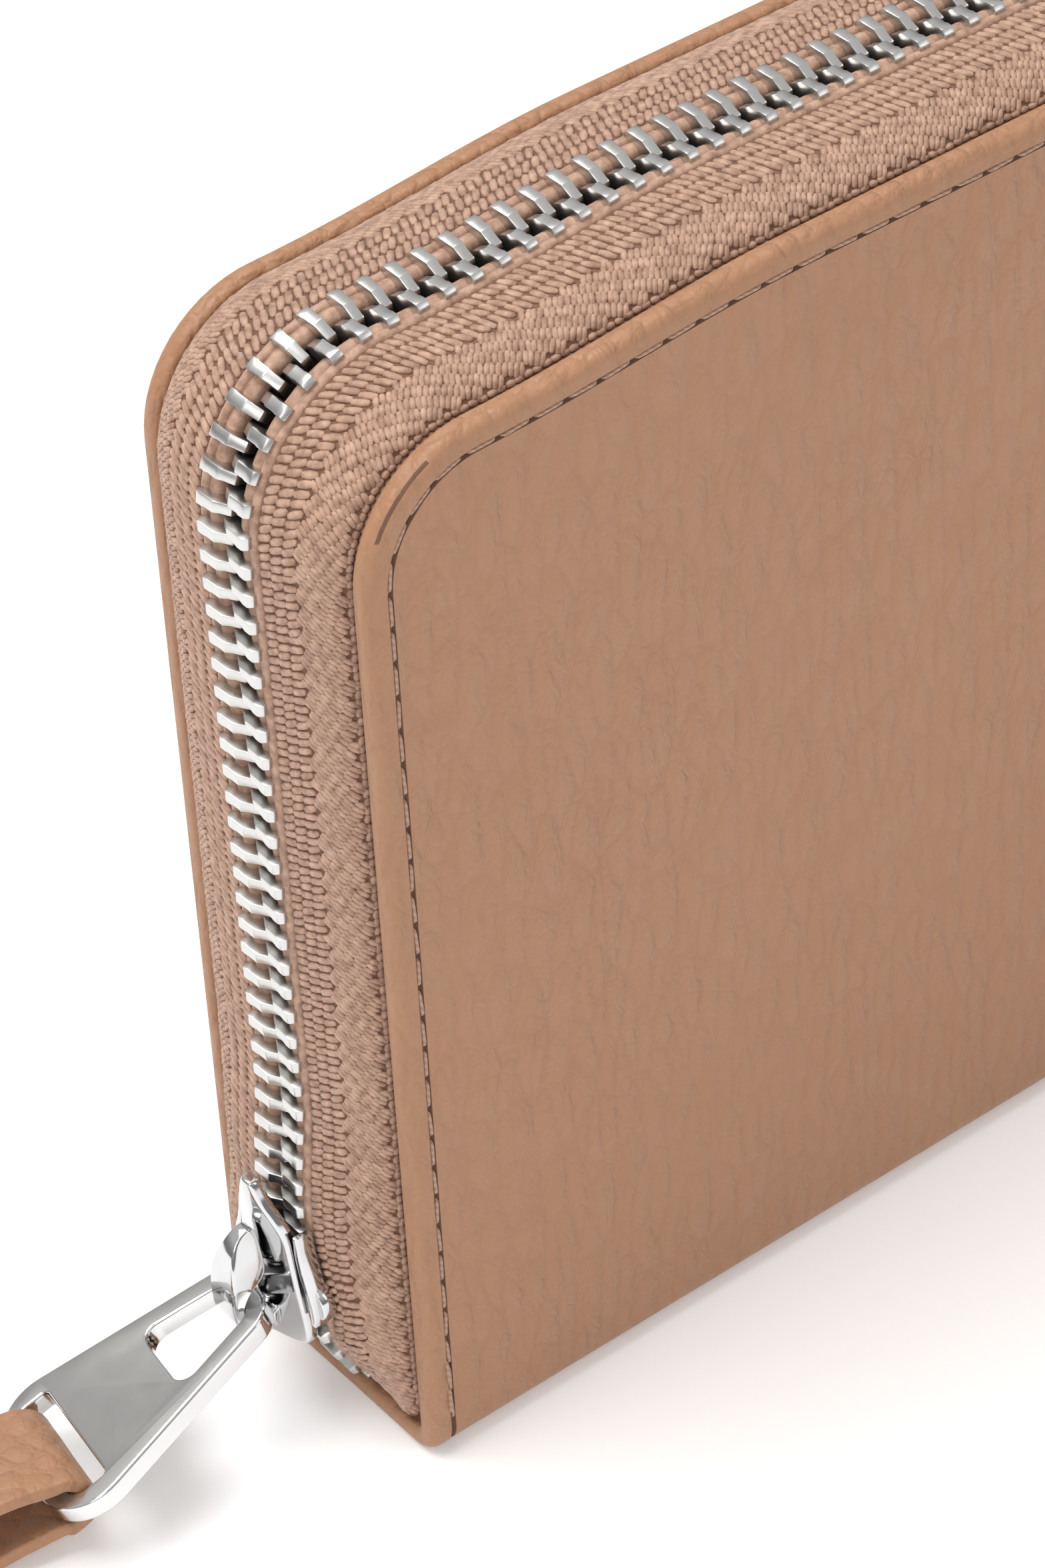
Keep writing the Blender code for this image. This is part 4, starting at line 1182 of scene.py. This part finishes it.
def stitch_lines(name, lines, side, body, spacing=0.0026):
    """Sewn lines on the inside: each is two points (x, y, z)."""
    master = stitch_master(spacing * 0.86, 0.0004)
    origins, along = [], []
    for first, last in lines:
        places, direction = places_along(np.array([first, last], float), spacing)
        origins.extend(places)
        along.extend(direction)
    along = np.array(along)
    out = np.tile([0.0, -side, 0.0], (len(along), 1))
    piece = repeat(name, master, origins, along, np.cross(out, along), out)
    discard(master)
    soften(piece, 60)
    dress(piece, body, thread, "pocket_leather")


def half_interior(side):
    """Lining and three card pockets of one half."""
    word, body = WORD[side], BODY[side]
    low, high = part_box(f"{word}_lining")
    sheet = cut_plate(f"{word}_lining_cloth", [panel_outline(0.0012, low.z)], high.y - low.y, 0.0001, UPRIGHT,
                      Vector((0, (low.y + high.y) / 2, 0)))
    soften(sheet, 40)
    dress(sheet, body, lining, "lining_fabric", f"{word}_lining")
    lines = []
    for number in (1, 2, 3):
        node = f"{word}_card_pocket_{number}"
        soft_panel(f"{word}_card_panel_{number}", node, (0.0006, 0.0006, 0.003, 0.003), 0.00024, 2, 0.00018,
                   inner_leather, "pocket_leather", body)
        low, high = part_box(node)
        face = low.y if side == BACK else high.y
        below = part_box(f"{word}_card_pocket_{number - 1}")[1].z + 0.0008 if number > 1 else low.z + 0.001
        hem = high.z - 0.0022
        start, stop = low.x + 0.004, high.x - 0.004
        lines.append(((start, face - side * 0.0001, hem), (stop, face - side * 0.0001, hem)))
        for x in (low.x + 0.0016, 0.0, high.x - 0.0016):
            lines.append(((x, face - side * 0.00005, below), (x, face - side * 0.00005, high.z - 0.001)))
    stitch_lines(f"{word}_pocket_stitches", lines, side, body)


def gusset(side, end):
    """Pleated end wall of a note compartment."""
    word = WORD[side]
    sign = 1 if end == "right" else -1
    node = f"{word}_{end}_gusset"
    low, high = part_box(node)
    y_far, y_near = max(abs(low.y), abs(high.y)), min(abs(low.y), abs(high.y))
    edge = max(abs(low.x), abs(high.x)) - 0.0003
    fold = min(abs(low.x), abs(high.x)) + 0.0003

    def place(u, v):
        share = u if side * sign > 0 else 1 - u
        depth = (1 - np.abs(2 * share - 1)) ** 0.85
        wave = 0.00012 * np.sin(v * 26 + 3 * share) * depth
        x = sign * (edge - (edge - fold) * depth + wave)
        y = side * (y_near + (y_far - y_near) * share)
        return np.stack([x, y, low.z + (high.z - low.z) * v], 1)

    sheet = grid_sheet(f"{node}_pleat", 15, 40, place)
    thicken(sheet, 0.0004, 50)
    sheet.data.materials.append(lining)
    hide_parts(node)
    if side == FRONT:
        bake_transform(sheet)
    else:
        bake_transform(sheet)


def rounded_block(name, node, body, width, material, slot):
    """A small part in a frame node's box with all its edges rounded."""
    part = block(name, *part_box(node))
    round_edges(part, width, 4, 40)
    soften(part, 45)
    return dress(part, body, material, slot, node)


def coin_compartment():
    """Walls, bottom, ends and zip of the coin compartment."""
    for word in ("front", "back"):
        soft_panel(f"coin_{word}_panel", f"coin_{word}_wall", (0.004, 0.004, 0.001, 0.001), 0.00028, 1,
                   -0.00035, inner_leather, "pocket_leather", "coin_pocket")
        low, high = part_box(f"coin_{word}_wall")
        side = BACK if word == "back" else FRONT
        face = high.y if side == BACK else low.y
        inset = 0.0022
        stitch_lines(f"coin_{word}_stitches", [
            ((low.x + inset, face, low.z + 0.004), (low.x + inset, face, high.z - 0.008)),
            ((low.x + 0.004, face, low.z + inset), (high.x - 0.004, face, low.z + inset)),
            ((high.x - inset, face, low.z + 0.004), (high.x - inset, face, high.z - 0.008))],
            -side, "coin_pocket")
        coin_tape(word, side)
        coin_coil(word, side)
    for node in ("coin_bottom", "coin_left_side", "coin_right_side"):
        strip = block(f"{node}_strip", *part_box(node))
        round_edges(strip, 0.0002, 2, 40)
        axis = 0 if node == "coin_bottom" else 2
        low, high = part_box(node)
        slice_evenly(strip, axis, low[axis], high[axis], 24)
        slice_across(strip, 1, [0.0])
        other = 2 if axis == 0 else 0
        inward = 1 if node in ("coin_bottom", "coin_left_side") else -1

        def crease(points, other=other, inward=inward, half=high.y):
            moved = points.copy()
            moved[:, other] += inward * 0.0003 * (1 - np.abs(points[:, 1]) / half)
            return moved

        move_points(strip, crease)
        soften(strip, 40)
        dress(strip, "coin_pocket", inner_leather, "pocket_leather", node)
    rounded_block("coin_end_stop", "coin_zip_stop", "coin_pocket", 0.0003, inner_metal, "brushed_metal")
    coin_slider()


def coin_tape(word, side):
    """Woven tape of the inner zip: up the outside of the wall and over its top to the coil."""
    low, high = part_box(f"coin_{word}_tape")
    outer = max(abs(low.y), abs(high.y)) - 0.0002
    near = min(abs(low.y), abs(high.y))
    top = high.z - 0.0002
    corner = [(outer, top - 0.0008), (outer - 0.00025, top - 0.0003), (outer - 0.0008, top)]
    line = np.array([(outer, low.z), (outer, low.z + 0.003)] + corner + [(near, top)])
    runs = path_runs(line)

    def place(u, v):
        share = u if side == BACK else 1 - u
        y, z = path_at(line, runs, v * runs[-1]).T
        x = low.x + (high.x - low.x) * share
        return np.stack([x, side * (y + 0.00004 * np.sin(x * 240)), z], 1)

    sheet = grid_sheet(f"coin_{word}_tape_strip", 80, 24, place)
    thicken(sheet, 0.0004, 50)
    dress(sheet, "coin_pocket", inner_tape, "zip_tape", f"coin_{word}_tape")


def coin_coil(word, side):
    """One half of the inner zip's nylon coil."""
    low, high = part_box(f"coin_{word}_coil")
    radius = (high.z - low.z) / 2 - 0.00018
    turns = int((high.x - low.x) / 0.0012)
    points = []
    for step in range(turns * 9 + 1):
        angle = 2 * math.pi * step / 9 + (math.pi if side == BACK else 0)
        points.append((low.x + 0.0002 + (high.x - low.x - 0.0004) * step / (turns * 9),
                       (low.y + high.y) / 2 + 0.00030 * math.cos(angle),
                       (low.z + high.z) / 2 + radius * math.sin(angle)))
    tube(f"coin_{word}_coil_wire", points, 0.00018, "coin_pocket", nylon, "nylon", f"coin_{word}_coil",
         resolution=1)


def coin_slider():
    """The inner zip's slider, its eye and its flat pull."""
    low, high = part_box("coin_slider")
    middle = COIN_CHAIN_HEIGHT
    flat = smooth_outline([(low.x, 0.0), (low.x + 0.0004, 0.0012), (low.x + 0.0022, 0.0019),
                           (low.x + 0.0052, 0.0017), (high.x - 0.0004, 0.0013), (high.x, 0.0),
                           (high.x - 0.0004, -0.0013), (low.x + 0.0052, -0.0017),
                           (low.x + 0.0022, -0.0019), (low.x + 0.0004, -0.0012)], 5, True)
    upper = cut_plate("coin_slider_top", [flat], 0.0006, 0.0002, LEVEL, Vector((0, 0, middle + 0.0013)))
    lower = cut_plate("coin_slider_low", [[(x, y * 0.85) for x, y in flat]], 0.0006, 0.0002, LEVEL,
                      Vector((0, 0, middle - 0.0013)))
    post = block("coin_slider_post", (low.x + 0.0010, -0.0002, middle - 0.0012),
                 (low.x + 0.0024, 0.0002, middle + 0.0012))
    finish_with(post, "BEVEL", width=0.00008, segments=2)
    eye_low, eye_high = low.x + 0.0026, high.x - 0.0010
    base = middle + 0.0014
    eye = smooth_outline([(eye_low, base), (eye_low + 0.0001, base + 0.0020), (eye_low + 0.0008, high.z),
                          (eye_high - 0.0008, high.z), (eye_high - 0.0001, base + 0.0020),
                          (eye_high, base)], 5)
    hole = [(eye_low + 0.0008 + (x - eye_low) * (eye_high - eye_low - 0.0016) / (eye_high - eye_low),
             base + (y - base) * 0.74) for x, y in eye]
    arch = cut_plate("coin_slider_eye", [eye + hole[::-1]], 0.0012, 0.0002, UPRIGHT, Vector((0, 0, 0)))
    body = join("coin_slider_body", [upper, lower, post, arch])
    soften(body, 35)
    dress(body, "coin_slider", inner_metal, "brushed_metal", "coin_slider")
    low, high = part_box("coin_pull")
    wide = high.y
    outline = rounded([(low.x, -wide * 0.72), (high.x, -wide), (high.x, wide), (low.x, wide * 0.72)],
                      (0.0008, 0.0022, 0.0022, 0.0008))
    window = rounded([(low.x + 0.0010, -0.0012), (low.x + 0.0055, -0.0013), (low.x + 0.0055, 0.0013),
                      (low.x + 0.0010, 0.0012)], (0.0003, 0.0006, 0.0006, 0.0003))
    pull = cut_plate("coin_pull_tab", [outline, window], high.z - low.z, 0.00022, LEVEL,
                     Vector((0, 0, (low.z + high.z) / 2)))
    soften(pull, 35)
    dress(pull, "coin_pull", inner_metal, "brushed_metal", "coin_pull")


def spine_inside():
    """Lining cloth over the spine's stiffener."""
    low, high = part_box("spine_lining")
    sheet = block("spine_lining_cloth", low, high)
    finish_with(sheet, "BEVEL", width=0.00015, segments=2)
    slice_evenly(sheet, 0, low.x, high.x, 40)
    slice_evenly(sheet, 1, low.y, high.y, 8)

    def settle_down(points):
        moved = points.copy()
        moved[:, 2] += 0.00008 * np.sin(points[:, 0] * 180) * np.cos(points[:, 1] / high.y * math.pi / 2)
        return moved

    move_points(sheet, settle_down)
    soften(sheet, 40)
    dress(sheet, "back_half", lining, "lining_fabric", "spine_lining")


for side in (FRONT, BACK):
    half_interior(side)
    for end in ("left", "right"):
        gusset(side, end)
for node, body in (("front_zip_stop", "front_half"), ("back_zip_stop", "back_half"),
                   ("end_zip_stop", "back_half")):
    rounded_block(f"{node}_clamp", node, body, 0.0003, nickel, "brushed_metal")
coin_compartment()
spine_inside()
for node in ("front_board", "back_board", "spine_board"):
    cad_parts[node].data.materials.clear()
    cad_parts[node].data.materials.append(card)


# ---------------------------------------------------------------- stage

def studio():
    """A pale floor and soft light from above and the front."""
    bpy.ops.object.select_all(action="DESELECT")
    bpy.ops.mesh.primitive_plane_add(size=8, location=(0, 0, -0.0001))
    floor = bpy.context.object
    floor.name = "pale_floor"
    paint = mottled("pale_floor_paint", (0.90, 0.90, 0.90), 0.8, 3.0, (0.895, 0.895, 0.895),
                    (0.905, 0.905, 0.905), Emission_Color=(1, 1, 1, 1), Emission_Strength=0.16)
    floor.data.materials.append(paint)

    world = bpy.data.worlds.new("soft_studio")
    bpy.context.scene.world = world
    world.use_nodes = True
    tree = world.node_tree
    place = tree.nodes.new("ShaderNodeTexCoord")
    split = tree.nodes.new("ShaderNodeSeparateXYZ")
    tree.links.new(place.outputs["Generated"], split.inputs["Vector"])
    height = tree.nodes.new("ShaderNodeMapRange")
    height.interpolation_type = "SMOOTHSTEP"
    for name, value in (("From Min", 0.05), ("From Max", 0.55), ("To Min", 0.24), ("To Max", 0.62)):
        height.inputs[name].default_value = value
    tree.links.new(split.outputs["Z"], height.inputs["Value"])
    tree.links.new(height.outputs["Result"], tree.nodes["Background"].inputs["Strength"])
    tree.nodes["Background"].inputs["Color"].default_value = (1, 1, 1, 1)

    for name, place, power, size, shape in (("overhead", (-0.30, 0.20, 0.95), 8.6, 0.8, 0.6),
                                            ("front_left", (-0.75, -0.55, 0.55), 1.7, 0.5, 0.4),
                                            ("front_right", (0.5, -0.9, 0.45), 1.3, 0.6, 0.5)):
        data = bpy.data.lights.new(name, "AREA")
        data.energy = power
        data.shape = "RECTANGLE"
        data.size = size
        data.size_y = shape
        lamp = add_object(name, data)
        lamp.location = place
        lamp.rotation_mode = "QUATERNION"
        lamp.rotation_quaternion = (Vector((-0.03, 0, 0.05)) - Vector(place)).to_track_quat("-Z", "Y")
        lamp.visible_camera = False


def camera():
    """The viewpoint, above and to the left of the front, nearly without perspective."""
    azimuth, elevation, roll = (math.radians(angle) for angle in (-36.357, 39.353, -3.381))
    back = Vector((math.sin(azimuth) * math.cos(elevation), -math.cos(azimuth) * math.cos(elevation),
                   math.sin(elevation)))
    right = Vector((math.cos(azimuth), math.sin(azimuth), 0))
    up = back.cross(right)
    turned_right = right * math.cos(roll) + up * math.sin(roll)
    turned_up = up * math.cos(roll) - right * math.sin(roll)
    turn = Matrix((turned_right, turned_up, back)).transposed().to_4x4()
    data = bpy.data.cameras.new("camera")
    data.sensor_width = 36
    data.lens = 125.31
    data.clip_start = 0.01
    data.clip_end = 20
    eye = add_object("camera", data)
    eye.matrix_world = Matrix.Translation((-0.27072, -0.26804, 0.32317)) @ turn
    bpy.context.scene.camera = eye


studio()
camera()
bpy.context.scene.view_settings.view_transform = "Standard"
